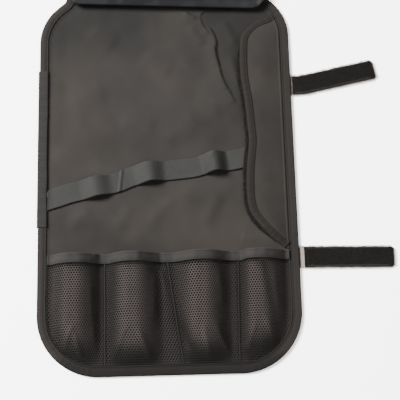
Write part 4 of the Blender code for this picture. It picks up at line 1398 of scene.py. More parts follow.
    def net(self, number: int) -> Shell:
        """A pocket's net: a honeycomb of six-sided holes laid over the pocket's surface.

        Zigzag lines of shared corners run across, one a row of cells, and each
        cell's hole is its own outline drawn in towards its middle.

        Args:
            number: Which pocket.

        Returns:
            The pierced surface, one face thick.
        """
        left, right = (e[0] for e in self.edges(number, np.full(1, self.height / 2)))
        probe = np.linspace(left, right, 80)
        girth = lengths(np.stack([probe, self.level(number, probe, np.full(80, self.height / 2),
                                                    loose=False)], axis=1))[-1]
        across = int(girth / self.cell)
        rows = int((self.height - self.sheet.binding) / (self.cell * 0.866))
        half = np.arange(2 * across + 2)
        line = np.arange(rows + 1)
        high = np.where((half[None] + line[:, None]) % 2 == 0, 1.0, -1.0)
        cx = np.broadcast_to(half / (2 * across + 1), high.shape)
        cy = (line[:, None] + high / 6) / rows
        index = np.arange(high.size).reshape(high.shape)
        cells, outers = [], []
        for parity in (0, 1):
            low_rows = np.arange(parity, rows, 2)[:, None]
            start = np.arange(parity, 2 * across, 2)[None]
            start = start[:, start[0] + 2 <= 2 * across + 1]
            outers.append(np.stack([index[low_rows, start], index[low_rows, start + 1],
                                    index[low_rows, start + 2], index[low_rows + 1, start + 2],
                                    index[low_rows + 1, start + 1], index[low_rows + 1, start]],
                                   axis=-1).reshape(-1, 6))
        outer = np.vstack(outers)
        plan = np.stack([cx.ravel(), cy.ravel()], axis=1)
        x, s = self.across(number, plan[:, 0].clip(0, 1), plan[:, 1].clip(0, 1))
        over = (s - self.sheet.inner_foot(x))[outer].mean(axis=1)
        outer = outer[over > 0.3 * self.cell]
        corners = plan[outer]
        centre = corners.mean(axis=1, keepdims=True)
        inner = centre + (corners - centre) * (1 - self.strand)
        first = len(plan)
        inner_index = first + np.arange(inner.shape[0] * 6).reshape(-1, 6)
        for k in range(6):
            after = (k + 1) % 6
            cells.append(np.stack([outer[:, k], outer[:, after], inner_index[:, after], inner_index[:, k]], axis=1))
        plan = np.vstack([plan, inner.reshape(-1, 2)])
        x, s = self.across(number, np.clip(plan[:, 0], 0, 1), np.clip(plan[:, 1], 0, 1))
        s = np.maximum(s, self.sheet.inner_foot(x))
        points = self.sheet.lay(x, s, self.level(number, x, s))
        quads = np.vstack(cells)
        used, renumbered = np.unique(quads, return_inverse=True)
        x, s, points, quads = x[used], s[used], points[used], renumbered.reshape(quads.shape)
        # Painted highlight on the pockets' crests.
        wear_and_highlight = 0.6 * smoothstep(self.rise(number, x, s) / self.bulge - 0.35)
        # Painted shadow under the hem.
        hem_shadow = smoothstep((s - self.height + self.hem_width + 6 * MM) / (5 * MM))
        return Shell(points, quads, np.stack([x, s], axis=1), wear_and_highlight, np.maximum(self.shade(x, s), hem_shadow))

    def strip(self, x: np.ndarray, s: np.ndarray, width: float, up: float) -> Shell:
        """A narrow flat strip along a chain of flat places, lying over the net's edges."""
        places = edge_stations(width, 1.0 * MM, 0.4 * MM)
        chain = np.stack([x, s], axis=1)
        flat = np.stack([offset_chain(chain, place - width / 2) for place in places[::-1]], axis=1)
        flat = flat[::-1] if chain[-1, 1] < chain[0, 1] else flat
        level = self.sheet.face(flat[..., 0], flat[..., 1], relief=False) + self.cloth + up
        share = edge_share(places, width, 0.4 * MM)[None]
        uv = flat.copy()
        # The strips take the full deep colour: painted shade in the valleys along the dividers and the foot.
        return walled(self.sheet.lay(flat[..., 0], flat[..., 1], level), 0.5 * MM * share, uv, 0.0, 1.0)

    def seams(self, wardrobe: Wardrobe) -> list[bpy.types.Object]:
        """The sewn-down strips of net at the dividers, with their stitches."""
        made = []
        for number in range(3):
            s = np.linspace(self.sheet.binding + 1.2 * MM, self.height - self.hem_width + 2 * MM, 90)
            x = self.divider(number, s) + 0.35 * MM * Undulation(71 + number, 12 * MM)(s, 0 * s)
            strip = self.strip(x, s, 2.0 * MM, 0.1 * MM)
            piece = make_piece(f"divider_seam_{number + 1}", strip, [wardrobe.net])
            made.append(piece)
            face = self.sheet.face(x, s, relief=False) + self.cloth + 0.28 * MM
            path = self.sheet.lay(x, s, face)
            up = np.broadcast_to([0.0, 0.0, 1.0], path.shape)
            sewn = make_piece(f"divider_stitches_{number + 1}",
                              stitches(path, up, 3.2 * MM, 2.5 * MM, 0.2 * MM), [wardrobe.thread])
            made.append(sewn)
        return made

    def foot_seam(self, wardrobe: Wardrobe) -> bpy.types.Object:
        """The net's edge where it goes in under the binding, round the foot and up both sides."""
        loop = offset_loop(self.sheet.outline(900), self.sheet.binding + 1.1 * MM)
        below = loop[loop[:, 1] < self.height - 1 * MM]
        start = int(np.argmin(np.where(below[:, 0] < 0, -below[:, 1], 1.0)))
        chain = np.roll(below, -start, axis=0)
        strip = self.strip(chain[:, 0], chain[:, 1], 1.6 * MM, -0.1 * MM)
        piece = make_piece("foot_seam", strip, [wardrobe.net])
        return piece

    def hem(self, wardrobe: Wardrobe) -> list[bpy.types.Object]:
        """The band along the mouths, which crests over each pocket, with two rows of stitches.

        Across its width it is a rounded strip, and a faint groove runs under
        each row of stitches.

        Args:
            wardrobe: The finishes.

        Returns:
            The band and its stitches.
        """
        places = edge_stations(self.hem_width, 1.1 * MM, 0.7 * MM)
        s = self.height - self.hem_width + places
        columns, heights = [], []
        for number in range(4):
            left, right = self.edges(number, s)
            share = np.linspace(0.0 if number == 0 else 0.012, 1, 58 if number else 59)
            x = left[:, None] + (right - left)[:, None] * share
            columns.append(x)
            heights.append(self.level(number, x, np.broadcast_to(s[:, None], x.shape), loose=False))
        x = np.concatenate(columns, axis=1)
        h = np.concatenate(heights, axis=1) + self.hem_clearance
        flat = np.stack([x, np.broadcast_to(s[:, None], x.shape)], axis=-1)
        under = self.sheet.lay(flat[..., 0], flat[..., 1], h)
        sag = 0.6 * MM * Undulation(81, 18 * MM)(x[:1], x[:1] * 0)
        gather = 0.35 * MM * Undulation(82, 5 * MM)(x, places[:, None] + 0 * x)
        groove = sum(bell(places - place, 0.5 * MM) for place in (2.2 * MM, self.hem_width - 2.2 * MM))
        share = edge_share(places, self.hem_width, 0.7 * MM)
        wall = self.hem_wall * (share + 0.25 * np.sin(np.pi * places / self.hem_width) - 0.3 * groove)
        up = grid_normals(under)
        top = under + up * (wall[:, None, None] + np.abs(sag)[..., None] + (gather * share[:, None])[..., None])
        low = under + up * 0.0
        wear_and_highlight = 0.25 * bell(places - self.hem_width, 1.5 * MM)[:, None]
        girth = np.concatenate([[0.0], np.cumsum(np.linalg.norm(np.diff(under[3], axis=0), axis=1))])
        uv = np.stack(np.broadcast_arrays(girth[None], places[:, None]), axis=-1)
        # Painted shade in the grooves under the stitching.
        shell = two_faced(top, low, uv, wear_and_highlight, 0.7 * groove.clip(0, 1)[:, None])
        band = make_piece("mouth_hem", shell, [wardrobe.hem])
        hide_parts("pocket_hem")
        made = [band]
        for label, place in (("lower", 2.2 * MM), ("upper", self.hem_width - 2.2 * MM)):
            row = int(np.argmin(np.abs(places - place)))
            sewn = make_piece(f"hem_stitches_{label}",
                              stitches(top[row], up[row], 3.2 * MM, 2.5 * MM, 0.24 * MM), [wardrobe.thread])
            made.append(sewn)
        return made

    def build(self, wardrobe: Wardrobe) -> list[bpy.types.Object]:
        """Build the nets, give each its wall, and sew on the seams and the hem."""
        nets = []
        for number in range(4):
            piece = make_piece(f"pocket_net_{number + 1}", self.net(number), [wardrobe.net])
            wall = piece.modifiers.new("strand", "SOLIDIFY")
            wall.thickness = self.wall
            wall.offset = -1
            wall.use_even_offset = False
            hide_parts(f"pocket_mesh_{number + 1}")
            nets.append(piece)
        trim = self.seams(wardrobe) + [self.foot_seam(wardrobe)]
        hem = self.hem(wardrobe)
        return nets + trim + hem


# Guard flap

class GuardEdge(NamedTuple):
    """The guard flap's free edge: how far up its length and how far out, as shares."""

    up: float
    out: float


GUARD_EDGE = (
    GuardEdge(0.000, 0.02), GuardEdge(0.014, 0.15), GuardEdge(0.045, 0.38), GuardEdge(0.079, 0.58),
    GuardEdge(0.123, 0.79), GuardEdge(0.164, 0.91), GuardEdge(0.229, 0.955), GuardEdge(0.330, 0.935),
    GuardEdge(0.442, 0.86), GuardEdge(0.510, 0.875), GuardEdge(0.620, 0.92), GuardEdge(0.733, 1.00),
    GuardEdge(0.832, 1.00), GuardEdge(0.904, 0.96), GuardEdge(0.949, 0.80), GuardEdge(0.984, 0.57),
    GuardEdge(1.004, 0.30), GuardEdge(1.016, 0.06),
)


@dataclass(frozen=True)
class GuardFlap:
    """The D-shaped flap over the right side: cloth, bound edge and pile strip.

    Attributes:
        sheet: The flat drawing.
        foot: Height up the roll of its lower tip.
        length: Its length.
        width: Its greatest reach.
        thickness: Its cloth's thickness.
        edge_lift: Height of its free edge over the panel.
        swell: Height of its roundness.
        tip_run: Run over which it comes down at both tips.
        binding: Width of the tape on its edge.
        pile_outer: How far the pile shows outside the edge.
        pile_inner: How far the pile reaches inside it.
    """

    sheet: Sheet
    foot: float = 141.7 * MM
    length: float = 290 * MM
    width: float = 48.5 * MM
    thickness: float = 1.6 * MM
    edge_lift: float = 6.4 * MM
    swell: float = 1.6 * MM
    tip_run: float = 28 * MM
    tip_width: float = 2 * MM
    seam_flat: float = 3 * MM
    binding: float = 8.0 * MM
    pile_inner: float = 14 * MM
    pile_outer: float = 4.5 * MM
    pile_wall: float = 1.3 * MM
    pile_clearance: float = 0.7 * MM

    def edge(self, count: int) -> np.ndarray:
        """The free edge as a smooth chain, from the foot tip up."""
        up = np.array([self.foot + self.length * row.up for row in GUARD_EDGE])
        out = np.array([self.sheet.inner_half - self.width * row.out for row in GUARD_EDGE])
        return smooth_chain(np.stack([np.minimum(out, self.sheet.inner_side(up) - self.tip_width), up],
                                     axis=1), count)

    def underside(self, x: np.ndarray, s: np.ndarray) -> np.ndarray:
        """Height of the flap's underside.

        From its seam outwards it climbs by a quarter sine, with half a sine's
        roundness added, and both come down towards its tips.

        Args:
            x: Place across.
            s: Place along.

        Returns:
            The height over the back face.
        """
        edge = self.edge(240)
        seam = self.sheet.inner_side(s)
        reach = seam - self.seam_flat - np.interp(s, edge[:, 1], edge[:, 0])
        out = np.clip((seam - self.seam_flat - x) / np.maximum(reach, self.tip_width), 0, 1.3)
        from_tips = np.minimum(s - self.foot, self.foot + self.length - s)
        rise = (self.edge_lift * np.sin(np.pi / 2 * np.clip(out, 0, 1))
                + 0.5 * self.swell * np.sin(np.pi * np.clip(out, 0, 1)))
        wave = 0.9 * MM * Undulation(91, 30 * MM)(x, s) + 0.35 * MM * Undulation(92, 12 * MM)(x, s)
        loose = (np.abs(wave) + wave) / 2 * smoothstep(out / 0.5)
        return self.sheet.face(x, s, relief=False) + (rise + loose) * smoothstep(from_tips / self.tip_run)

    def cloth(self, wardrobe: Wardrobe) -> bpy.types.Object:
        """The flap's cloth: rows from the free edge to the seam, with a roll along the seam."""
        edge = self.edge(190)
        seam = self.sheet.inner_side(edge[:, 1])[:, None]
        flat_run = np.minimum(self.seam_flat, (seam - edge[:, :1]) / 2)
        share = np.linspace(0, 1, 30)
        x = np.hstack([edge[:, :1] + (seam - flat_run - edge[:, :1]) * share[None], seam - flat_run / 2,
                       seam - 0.5 * MM, seam + 0.1 * MM, seam + 0.5 * MM])
        s = np.broadcast_to(edge[:, 1:], x.shape)
        under = self.sheet.lay(x, s, self.underside(x, s))
        rolled = np.concatenate([np.ones(31), [0.92, 0.62, 0.25]])[None, :, None]
        top = under + grid_normals(under) * self.thickness * rolled
        # Painted shade beside the seam and along the inner edge of the rim tape.
        beside = bell(seam - x - 0.8 * MM, 1.4 * MM)
        inner = bell(np.minimum(x - edge[:, :1], 1.0) - self.binding - 0.6 * MM, 1.2 * MM)
        wear_and_highlight = 0.10 * np.clip(Undulation(95, 18 * MM)(x, s), 0, 1)
        shell = two_faced(top, under, np.stack([x, s], axis=-1), wear_and_highlight, 0.2 * np.maximum(beside, inner))
        piece = make_piece("guard_cloth", shell, [wardrobe.lining])
        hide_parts("guard_flap")
        return piece

    def rim_tape(self, wardrobe: Wardrobe) -> list[bpy.types.Object]:
        """The tape folded round the free edge, with its stitches.

        Its profile runs from a short leg under the cloth, round the edge, to a
        crowned leg on top with a groove at the stitching.

        Args:
            wardrobe: The finishes.

        Returns:
            The tape and the stitches.
        """
        edge = self.edge(340)
        edge = edge[(edge[:, 1] > self.foot + 3 * MM)]
        onward = (edge[0] - edge[4]) / np.linalg.norm(edge[0] - edge[4])
        edge = np.vstack([edge[0] + onward * reach * MM for reach in (3.6, 2.4, 1.2)] + [edge])
        run = lengths(edge)
        stack = self.thickness + 0.25 * MM
        groove = self.binding - 1.9 * MM
        corners = np.array([
            (3.2, -0.15), (1.0, -0.15), (-0.25, 0.35), (-0.3, 1.2), (0.0, stack / MM), (0.9, stack / MM),
            (4.5, stack / MM), (7.4, stack / MM), (8.0, stack / MM - 0.1),
            (8.1, stack / MM + 0.1), (7.7, stack / MM + 0.35), (7.0, stack / MM + 0.6), (6.5, stack / MM + 0.62),
            (6.1, stack / MM + 0.5), (5.7, stack / MM + 0.72), (4.8, stack / MM + 0.95), (3.2, stack / MM + 1.05),
            (1.6, stack / MM + 1.0), (0.2, stack / MM + 0.75), (-0.7, stack / MM + 0.1), (-1.05, 1.0),
            (-0.9, 0.1), (-0.2, -0.5), (1.0, -0.65), (3.2, -0.65),
        ]) * MM
        inward, height = corners.T
        ripple = 0.16 * MM * np.sin(run / (1.3 * MM) + 2 * Undulation(96, 9 * MM)(run, 0 * run))
        rings, uv, wear_and_highlight, seam = [], [], [], []
        skin = np.concatenate([[0.0], np.cumsum(np.hypot(np.diff(inward), np.diff(height)))])
        for k in range(len(corners)):
            flat = offset_chain(edge, inward[k])
            level = self.underside(flat[:, 0], flat[:, 1]) + height[k] + ripple * (9 < k < 19)
            rings.append(self.sheet.lay(flat[:, 0], flat[:, 1], level))
            uv.append(np.stack([run, np.full_like(run, skin[k])], axis=1))
            wear_and_highlight.append(np.full_like(run, 0.06 * (17 <= k <= 20)))
            # Painted shade in the stitching groove and on the tape's outer edge and underside, over a darker tone.
            seam.append(np.full_like(run, 0.45 if k == 13 else 0.8 if k > 18 else 0.35))
        shell = swept(np.stack(rings, axis=1)[:, ::-1], False, np.stack(uv, axis=1)[:, ::-1],
                      np.stack(wear_and_highlight, axis=1)[:, ::-1], np.stack(seam, axis=1)[:, ::-1])
        tape = make_piece("guard_rim_tape", shell, [wardrobe.tape])
        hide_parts("guard_flap_binding")
        line = offset_chain(edge, groove)
        path = self.sheet.lay(line[:, 0], line[:, 1],
                              self.underside(line[:, 0], line[:, 1]) + stack + 0.55 * MM)
        up = np.broadcast_to([0.0, 0.0, 1.0], path.shape)
        sewn = make_piece("guard_stitches", stitches(path, up, 3.3 * MM, 2.6 * MM, 0.27 * MM), [wardrobe.thread])
        return [tape, sewn]

    def seam_stitches(self, wardrobe: Wardrobe) -> bpy.types.Object:
        """Two rows of stitches that hold the flap's seam beside the edge binding."""
        shells = []
        for aside in (1.1 * MM, 3.4 * MM):
            s = np.linspace(self.foot + 8 * MM, self.foot + self.length - 12 * MM, 200)
            x = self.sheet.inner_side(s) - aside
            path = self.sheet.lay(x, s, self.underside(x, s) + self.thickness)
            normal = np.broadcast_to([0.0, 0.0, 1.0], path.shape)
            shells.append(stitches(path, normal, 3.3 * MM, 2.6 * MM, 0.26 * MM))
        sewn = make_piece("guard_seam_stitches", merge(shells), [wardrobe.thread])
        return sewn

    @staticmethod
    def pile_shown(count: int) -> np.ndarray:
        """Share of the pile's outer run that shows at each station: it slips under the edge at both ends."""
        along = np.linspace(0, 1, count)
        return smoothstep(along / 0.09) * smoothstep((1 - along) / 0.16)

    def pile(self, wardrobe: Wardrobe) -> list[bpy.types.Object]:
        """The pile strip under the edge: a flat backing, and loops where it shows outside."""
        edge = self.edge(480)
        # Near the lower tip the pile's black band also stands in for the shadow under the flap's edge.
        edge = edge[int(0.06 * 480):int(0.87 * 480)]
        wander = 0.7 * MM * Undulation(97, 11 * MM)(edge[:, 1], 0 * edge[:, 1])
        places = edge_stations(self.pile_outer + self.pile_inner, 2.0 * MM, 0.8 * MM)
        shown = self.pile_shown(len(edge))
        flat = np.stack([offset_chain(edge, place - self.pile_outer) for place in places], axis=1)
        flat[:, :, 0] += (1 - shown)[:, None] * self.pile_outer
        flat[:, 0, 0] -= wander * shown
        level = self.underside(flat[..., 0], flat[..., 1]) - self.pile_clearance - self.pile_wall / 2
        share = edge_share(places, places[-1], 0.8 * MM)[None]
        middle = self.sheet.lay(flat[..., 0], flat[..., 1], level)
        backing = make_piece("guard_pile_backing", walled(middle, self.pile_wall * share, flat),
                             [wardrobe.pile])
        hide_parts("guard_flap_pile")
        draw = np.random.default_rng(98)
        count = 1500
        place = draw.uniform(0, len(edge) - 1.001, count)
        first = place.astype(int)
        point = edge[first] + (edge[first + 1] - edge[first]) * (place - first)[:, None]
        slope = edge[first + 1] - edge[first]
        slope /= np.linalg.norm(slope, axis=1, keepdims=True)
        out = draw.uniform(-self.pile_outer - 0.3 * MM, -0.6 * MM, count) * np.maximum(shown[first], 0.1)
        point = point + out[:, None] * np.stack([slope[:, 1], -slope[:, 0]], axis=1)
        height = self.underside(point[:, 0], point[:, 1]) - self.pile_clearance - 0.25 * MM
        at = self.sheet.lay(point[:, 0], point[:, 1], height)
        outward = bell(out + self.pile_outer, 1.2 * MM)
        normal = np.stack([-outward * slope[:, 1], outward * slope[:, 0], 1 + 0 * outward], axis=1)
        normal /= np.linalg.norm(normal, axis=1, keepdims=True)
        fuzz = make_piece("guard_pile_loops", pile_loops(at, normal, 1.0 * MM, 1.1 * MM, 0.16 * MM, 99),
                          [wardrobe.pile])
        return [backing, fuzz]

    def build(self, wardrobe: Wardrobe) -> list[bpy.types.Object]:
        """Build the cloth, its bound edge, its seam and its pile strip."""
        cloth = self.cloth(wardrobe)
        rim = self.rim_tape(wardrobe)
        sewn = self.seam_stitches(wardrobe)
        pile = self.pile(wardrobe)
        return [cloth, *rim, sewn, *pile]


# Retaining strap

class StrapPoint(NamedTuple):
    """A point of the strap's middle line, as shares across its span and up its climb."""

    across: float
    up: float


STRAP_LINE = (
    StrapPoint(0.000, 0.000), StrapPoint(0.098, 0.165), StrapPoint(0.210, 0.280), StrapPoint(0.305, 0.376),
    StrapPoint(0.380, 0.510), StrapPoint(0.460, 0.590), StrapPoint(0.565, 0.633), StrapPoint(0.650, 0.675),
    StrapPoint(0.700, 0.735), StrapPoint(0.760, 0.780), StrapPoint(0.830, 0.820), StrapPoint(0.900, 0.900),
    StrapPoint(1.000, 1.000),
)

STRAP_ARCHES = (
    Arch(centre=0.215, width=0.155, height=0.78),
    Arch(centre=0.452, width=0.150, height=0.86),
    Arch(centre=0.741, width=0.125, height=1.12),
)


@dataclass(frozen=True)
class RetainingStrap:
    """The webbing strap across the body, sewn down between its arches, with pile under it.

    Attributes:
        sheet: The flat drawing.
        foot: Height up the roll where it leaves the left binding.
        span: Its run across.
        climb: Its rise up the roll.
        width: The webbing's width.
        thickness: The webbing's thickness.
        pile_width: Width of the pile under it.
        pile_wall: Thickness of that pile.
        arch: Height of its tallest arch.
        tuck: Place across of its sewn tuck.
    """

    sheet: Sheet
    foot: float = 205.5 * MM
    span: float = 266 * MM
    climb: float = 54.5 * MM
    width: float = 24 * MM
    thickness: float = 1.2 * MM
    pile_width: float = 22 * MM
    pile_wall: float = 1.0 * MM
    arch: float = 11 * MM
    tuck: float = -55 * MM

    def line(self, count: int) -> np.ndarray:
        """The strap's middle line in the flat drawing."""
        return smooth_chain([(-self.sheet.inner_half + self.span * p.across, self.foot + self.climb * p.up)
                             for p in STRAP_LINE], count)

    def lift(self, line: np.ndarray) -> np.ndarray:
        """Rise of the strap at each station: squared cosines over its arches."""
        share = (line[:, 0] + self.sheet.inner_half) / self.span
        rise = np.zeros(len(line))
        for arch in STRAP_ARCHES:
            near = np.clip((share - arch.centre) / (arch.width / 2), -1, 1)
            rise += self.arch * arch.height * np.cos(near * np.pi / 2) ** 2
        return rise

    def grid(self, count: int, places: np.ndarray, width: float) -> tuple[np.ndarray, np.ndarray]:
        """Flat places and heights of the strap's underside.

        Args:
            count: Stations along.
            places: Distances across from its lower edge.
            width: The strip's width.

        Returns:
            The flat places and the heights, rows across and columns along.
        """
        line = self.line(count)
        flat = np.stack([offset_chain(line, width / 2 - place) for place in places], axis=0)
        flat[..., 0] = np.maximum(flat[..., 0], -self.sheet.inner_half)
        # The root's end is cut square to the binding, and the cut's slant dies out along the strap
        slant = flat[:, :1, 0] + self.sheet.inner_half
        flat[..., 0] -= slant * (1 - smoothstep(lengths(line) / (16 * MM)))
        level = self.sheet.face(flat[..., 0], flat[..., 1]) + self.pile_wall + self.sheet.clearance
        return flat, level + self.lift(line)[None]

    def build(self, wardrobe: Wardrobe) -> list[bpy.types.Object]:
        """Build the webbing, its pile with the loops that show, and its stitches.

        The webbing's upper face carries fine ribs along it, a raised tuck at
        one place, and a slant fold that the last arch pulls across it.

        Args:
            wardrobe: The finishes.

        Returns:
            The pieces.
        """
        count = 330
        places = edge_stations(self.width, 0.9 * MM, 0.7 * MM)
        flat, level = self.grid(count, places, self.width)
        line = self.line(count)
        run = lengths(line)
        across = places[:, None] - self.width / 2
        share = edge_share(places, self.width, 0.7 * MM)[:, None]
        tuck = bell(flat[..., 0] - self.tuck - 0.12 * across, 1.6 * MM)
        groove = bell(flat[..., 0] - self.tuck - 3.2 * MM - 0.12 * across, 1.0 * MM)
        slant = bell((flat[..., 0] - 0.046) - 0.55 * across - 0.0035, 2.6 * MM)
        wave = 0.22 * MM * Undulation(111, 22 * MM)(flat[..., 0], flat[..., 1])
        wave = wave + 0.8 * MM * slant * smoothstep((self.width / 2 + across) / (8 * MM))
        sag = -0.8 * MM * np.square(across / (self.width / 2)) * self.lift(line)[None] / self.arch
        under = self.sheet.lay(flat[..., 0], flat[..., 1], level + sag + np.abs(wave))
        up = grid_normals(under)
        ribs = 0.09 * MM * np.cos(2 * np.pi * across / (1.85 * MM))
        crown = self.thickness * share + (ribs + 1.1 * MM * tuck - 0.3 * MM * groove) * share
        top = under + up * crown[..., None]
        uv = np.stack(np.broadcast_arrays(run[None] + 0 * across, places[:, None] + 0 * run[None]), axis=-1)
        wear_and_highlight = 0.25 * (1 - share) + 0.3 * tuck + 0.08 * np.clip(Undulation(112, 16 * MM)(*uv.transpose(2, 0, 1)), 0, 1)
        # Painted shade in the groove beside the tuck.
        shell = two_faced(top, under, uv, wear_and_highlight.clip(0, 1), 0.6 * groove)
        webbing = make_piece("strap_webbing", shell, [wardrobe.webbing])
        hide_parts("retaining_strap")
        pile_places = edge_stations(self.pile_width, 2.2 * MM, 0.6 * MM)
        pile_flat, pile_level = self.grid(count, pile_places, self.pile_width)
        sag = -0.8 * MM * np.square((pile_places[:, None] - self.pile_width / 2) / (self.width / 2)) \
            * self.lift(line)[None] / self.arch
        middle = self.sheet.lay(pile_flat[..., 0], pile_flat[..., 1],
                                pile_level + sag - self.sheet.clearance - self.pile_wall / 2)
        wall = self.pile_wall * edge_share(pile_places, self.pile_width, 0.6 * MM)[:, None]
        backing = make_piece("strap_pile_backing", walled(middle, wall, pile_flat), [wardrobe.pile])
        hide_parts("retaining_strap_pile")
        loops = self.fringe(wardrobe, middle, line)
        sewn = self.stitch_rows(wardrobe, top, up, line)
        return [webbing, backing, loops, sewn]

    def fringe(self, wardrobe: Wardrobe, middle: np.ndarray, line: np.ndarray) -> bpy.types.Object:
        """Loops along the pile's lower and upper edges and its underside, where the arches show them."""
        draw = np.random.default_rng(113)
        count = 2200
        lift = self.lift(line)
        chance = 0.12 + lift / self.arch
        station = draw.choice(len(line), count, p=chance / chance.sum())
        low = draw.uniform(0, 1, count) < 0.7
        row = np.where(low, draw.integers(0, 3, count), draw.integers(middle.shape[0] - 3, middle.shape[0], count))
        at = middle[row, station]
        away = np.where(low, -1.0, 1.0)[:, None] * np.array([[-0.15, 0.85, -0.25]])
        normal = away / np.linalg.norm(away, axis=1, keepdims=True)
        loops = pile_loops(at, normal, 1.6 * MM, 1.2 * MM, 0.16 * MM, 114)
        piece = make_piece("strap_pile_loops", loops, [wardrobe.pile])
        return piece

    def stitch_rows(self, wardrobe: Wardrobe, top: np.ndarray, up: np.ndarray,
                    line: np.ndarray) -> bpy.types.Object:
        """Rows of stitches across the strap where it is sewn down between its arches."""
        share = (line[:, 0] + self.sheet.inner_half) / self.span
        shells = []
        for place in (0.02, 0.318, 0.347, 0.955):
            station = int(np.argmin(np.abs(share - place)))
            shells.append(stitches(top[2:-2, station], up[2:-2, station], 2.9 * MM, 2.3 * MM, 0.25 * MM))
        piece = make_piece("strap_stitches", merge(shells), [wardrobe.thread])
        return piece


# Closure straps

class Closure(NamedTuple):
    """A closure strap: its name, root height up the roll, length, turn in degrees, bare root."""

    name: str
    up: float
    length: float
    turn: float
    bare: float


CLOSURES = (
    Closure(name="upper", up=343.5 * MM, length=104 * MM, turn=11.7, bare=1.6 * MM),
    Closure(name="lower", up=131.5 * MM, length=110 * MM, turn=-1.2, bare=5.4 * MM),
)


@dataclass(frozen=True)
class ClosureStraps:
    """The two straps at the right edge: pale webbing with a black loop pad on its face.

    Attributes:
        sheet: The flat drawing.
        width: The webbing's width.
        thickness: The webbing's thickness.
        tip_radius: Radius of the tip's corners.
        pad_width: The pad's width.
        pad_wall: The pad's thickness.
        bend_run: Run over which the strap turns.
        loop_pitch: Spacing of the pad's loops.
    """

    sheet: Sheet
    width: float = 25 * MM
    thickness: float = 1.2 * MM
    tip_radius: float = 3.4 * MM
    pad_width: float = 23.6 * MM
    pad_wall: float = 1.6 * MM
    bend_run: float = 14 * MM
    loop_pitch: float = 1.15 * MM

    def place(self, closure: Closure, along: np.ndarray, across: np.ndarray) -> tuple[np.ndarray, np.ndarray]:
        """Flat place of points given along and across the strap, whose heading eases to its turn."""
        fine = np.linspace(0, closure.length, 600)
        heading = np.radians(closure.turn) * smoothstep((fine - self.bend_run / 2) / self.bend_run)
        step = fine[1] - fine[0]
        x = np.interp(along, fine, np.cumsum(np.cos(heading)) * step)
        s = np.interp(along, fine, np.cumsum(np.sin(heading)) * step)
        turned = np.interp(along, fine, heading)
        root = self.sheet.half + self.sheet.clearance
        return root + x - across * np.sin(turned), closure.up + s + across * np.cos(turned)

    def strip(self, closure: Closure, start: float, width: float, low: float, wall: float,
              seed: int) -> Shell:
        """A closed strip with round edges and a round-cornered tip.

        Near the tip its half width shrinks by the tip's quarter circle, and its
        edges wander by a soft noise.

        Args:
            closure: Which strap.
            start: Where it starts along the strap.
            width: Its width.
            low: Height of its underside.
            wall: Its thickness.
            seed: Seed of the wandering edge.

        Returns:
            The shell.
        """
        end = closure.length if start == 0 else closure.length - 0.7 * MM
        body = np.linspace(start, end - self.tip_radius, 90)
        tip = end - self.tip_radius * (1 - np.sin(np.linspace(0, np.pi / 2, 12)[1:]))
        along = np.concatenate([body, tip])
        to_tip = np.clip(end - along, 0, self.tip_radius)
        shrink = self.tip_radius - np.sqrt(self.tip_radius**2 - (self.tip_radius - to_tip)**2)
        half = width / 2 - shrink
        places = edge_stations(1.0, 0.05, 0.03)
        fray = 0.28 * MM * Undulation(seed, 5 * MM)(along, 0 * along)
        across = (places[:, None] * 2 - 1) * (half + fray)[None]
        x, s = self.place(closure, np.broadcast_to(along, across.shape), across)
        share = edge_share(places, 1.0, 0.03)[:, None] * edge_share(along - start, end - start, 0.8 * MM)[None]
        swell = 0.5 * MM * (1 + Undulation(seed + 1, 24 * MM)(x, s)) * smoothstep(along / (20 * MM))
        middle = low + wall / 2 + swell
        top = self.sheet.lay(x, s, middle + wall * share / 2)
        bottom = self.sheet.lay(x, s, middle - wall * share / 2)
        uv = np.stack(np.broadcast_arrays(along[None], across), axis=-1)
        wear_and_highlight = 0.5 * (1 - edge_share(places, 1.0, 0.05)[:, None]) + 0 * across
        return two_faced(top, bottom, uv, wear_and_highlight, 0.0)

    def loops(self, closure: Closure, seed: int) -> Shell:
        """Loops over the pad's whole face, on a jittered grid a pitch apart."""
        draw = np.random.default_rng(seed)
        along, across = np.meshgrid(np.arange(closure.bare + 0.6 * MM, closure.length - 1.2 * MM, self.loop_pitch),
                                    np.arange(-self.pad_width / 2 + 0.8 * MM, self.pad_width / 2 - 0.7 * MM,
                                              self.loop_pitch))
        along = (along + draw.uniform(-0.45, 0.45, along.shape) * self.loop_pitch).ravel()
        across = (across + draw.uniform(-0.45, 0.45, across.shape) * self.loop_pitch).ravel()
        left = closure.length - 0.7 * MM - along
        corner = np.hypot(np.clip(self.tip_radius - left, 0, 1),
                          np.clip(np.abs(across) - self.pad_width / 2 + self.tip_radius, 0, 1))
        keep = corner < self.tip_radius - 0.3 * MM
        along, across = along[keep], across[keep]
        x, s = self.place(closure, along, across)
        swell = 0.5 * MM * (1 + Undulation(seed + 1, 24 * MM)(x, s)) * smoothstep(along / (20 * MM))
        low = self.thickness + self.sheet.clearance + self.pad_wall - 0.45 * MM
        at = self.sheet.lay(x, s, low + swell)
        normal = np.broadcast_to([0.0, 0.0, 1.0], at.shape)
        return pile_loops(at, normal, 1.0 * MM, 1.0 * MM, 0.17 * MM, seed + 2)

    def edge_stitches(self, closure: Closure) -> Shell:
        """Two rows of pale stitches along the pad, just inside its long edges."""
        along = np.linspace(closure.bare + 3 * MM, closure.length - 4 * MM, 160)
        rows = []
        for way in (-1, 1):
            x, s = self.place(closure, along, np.full(160, way * (self.pad_width / 2 - 1.6 * MM)))
            top = self.thickness + self.sheet.clearance + self.pad_wall + 0.9 * MM
            path = self.sheet.lay(x, s, top + 0.0 * x)
            rows.append(stitches(path, np.broadcast_to([0.0, 0.0, 1.0], path.shape), 3.4 * MM, 1.9 * MM,
                                 0.24 * MM))
        return merge(rows)

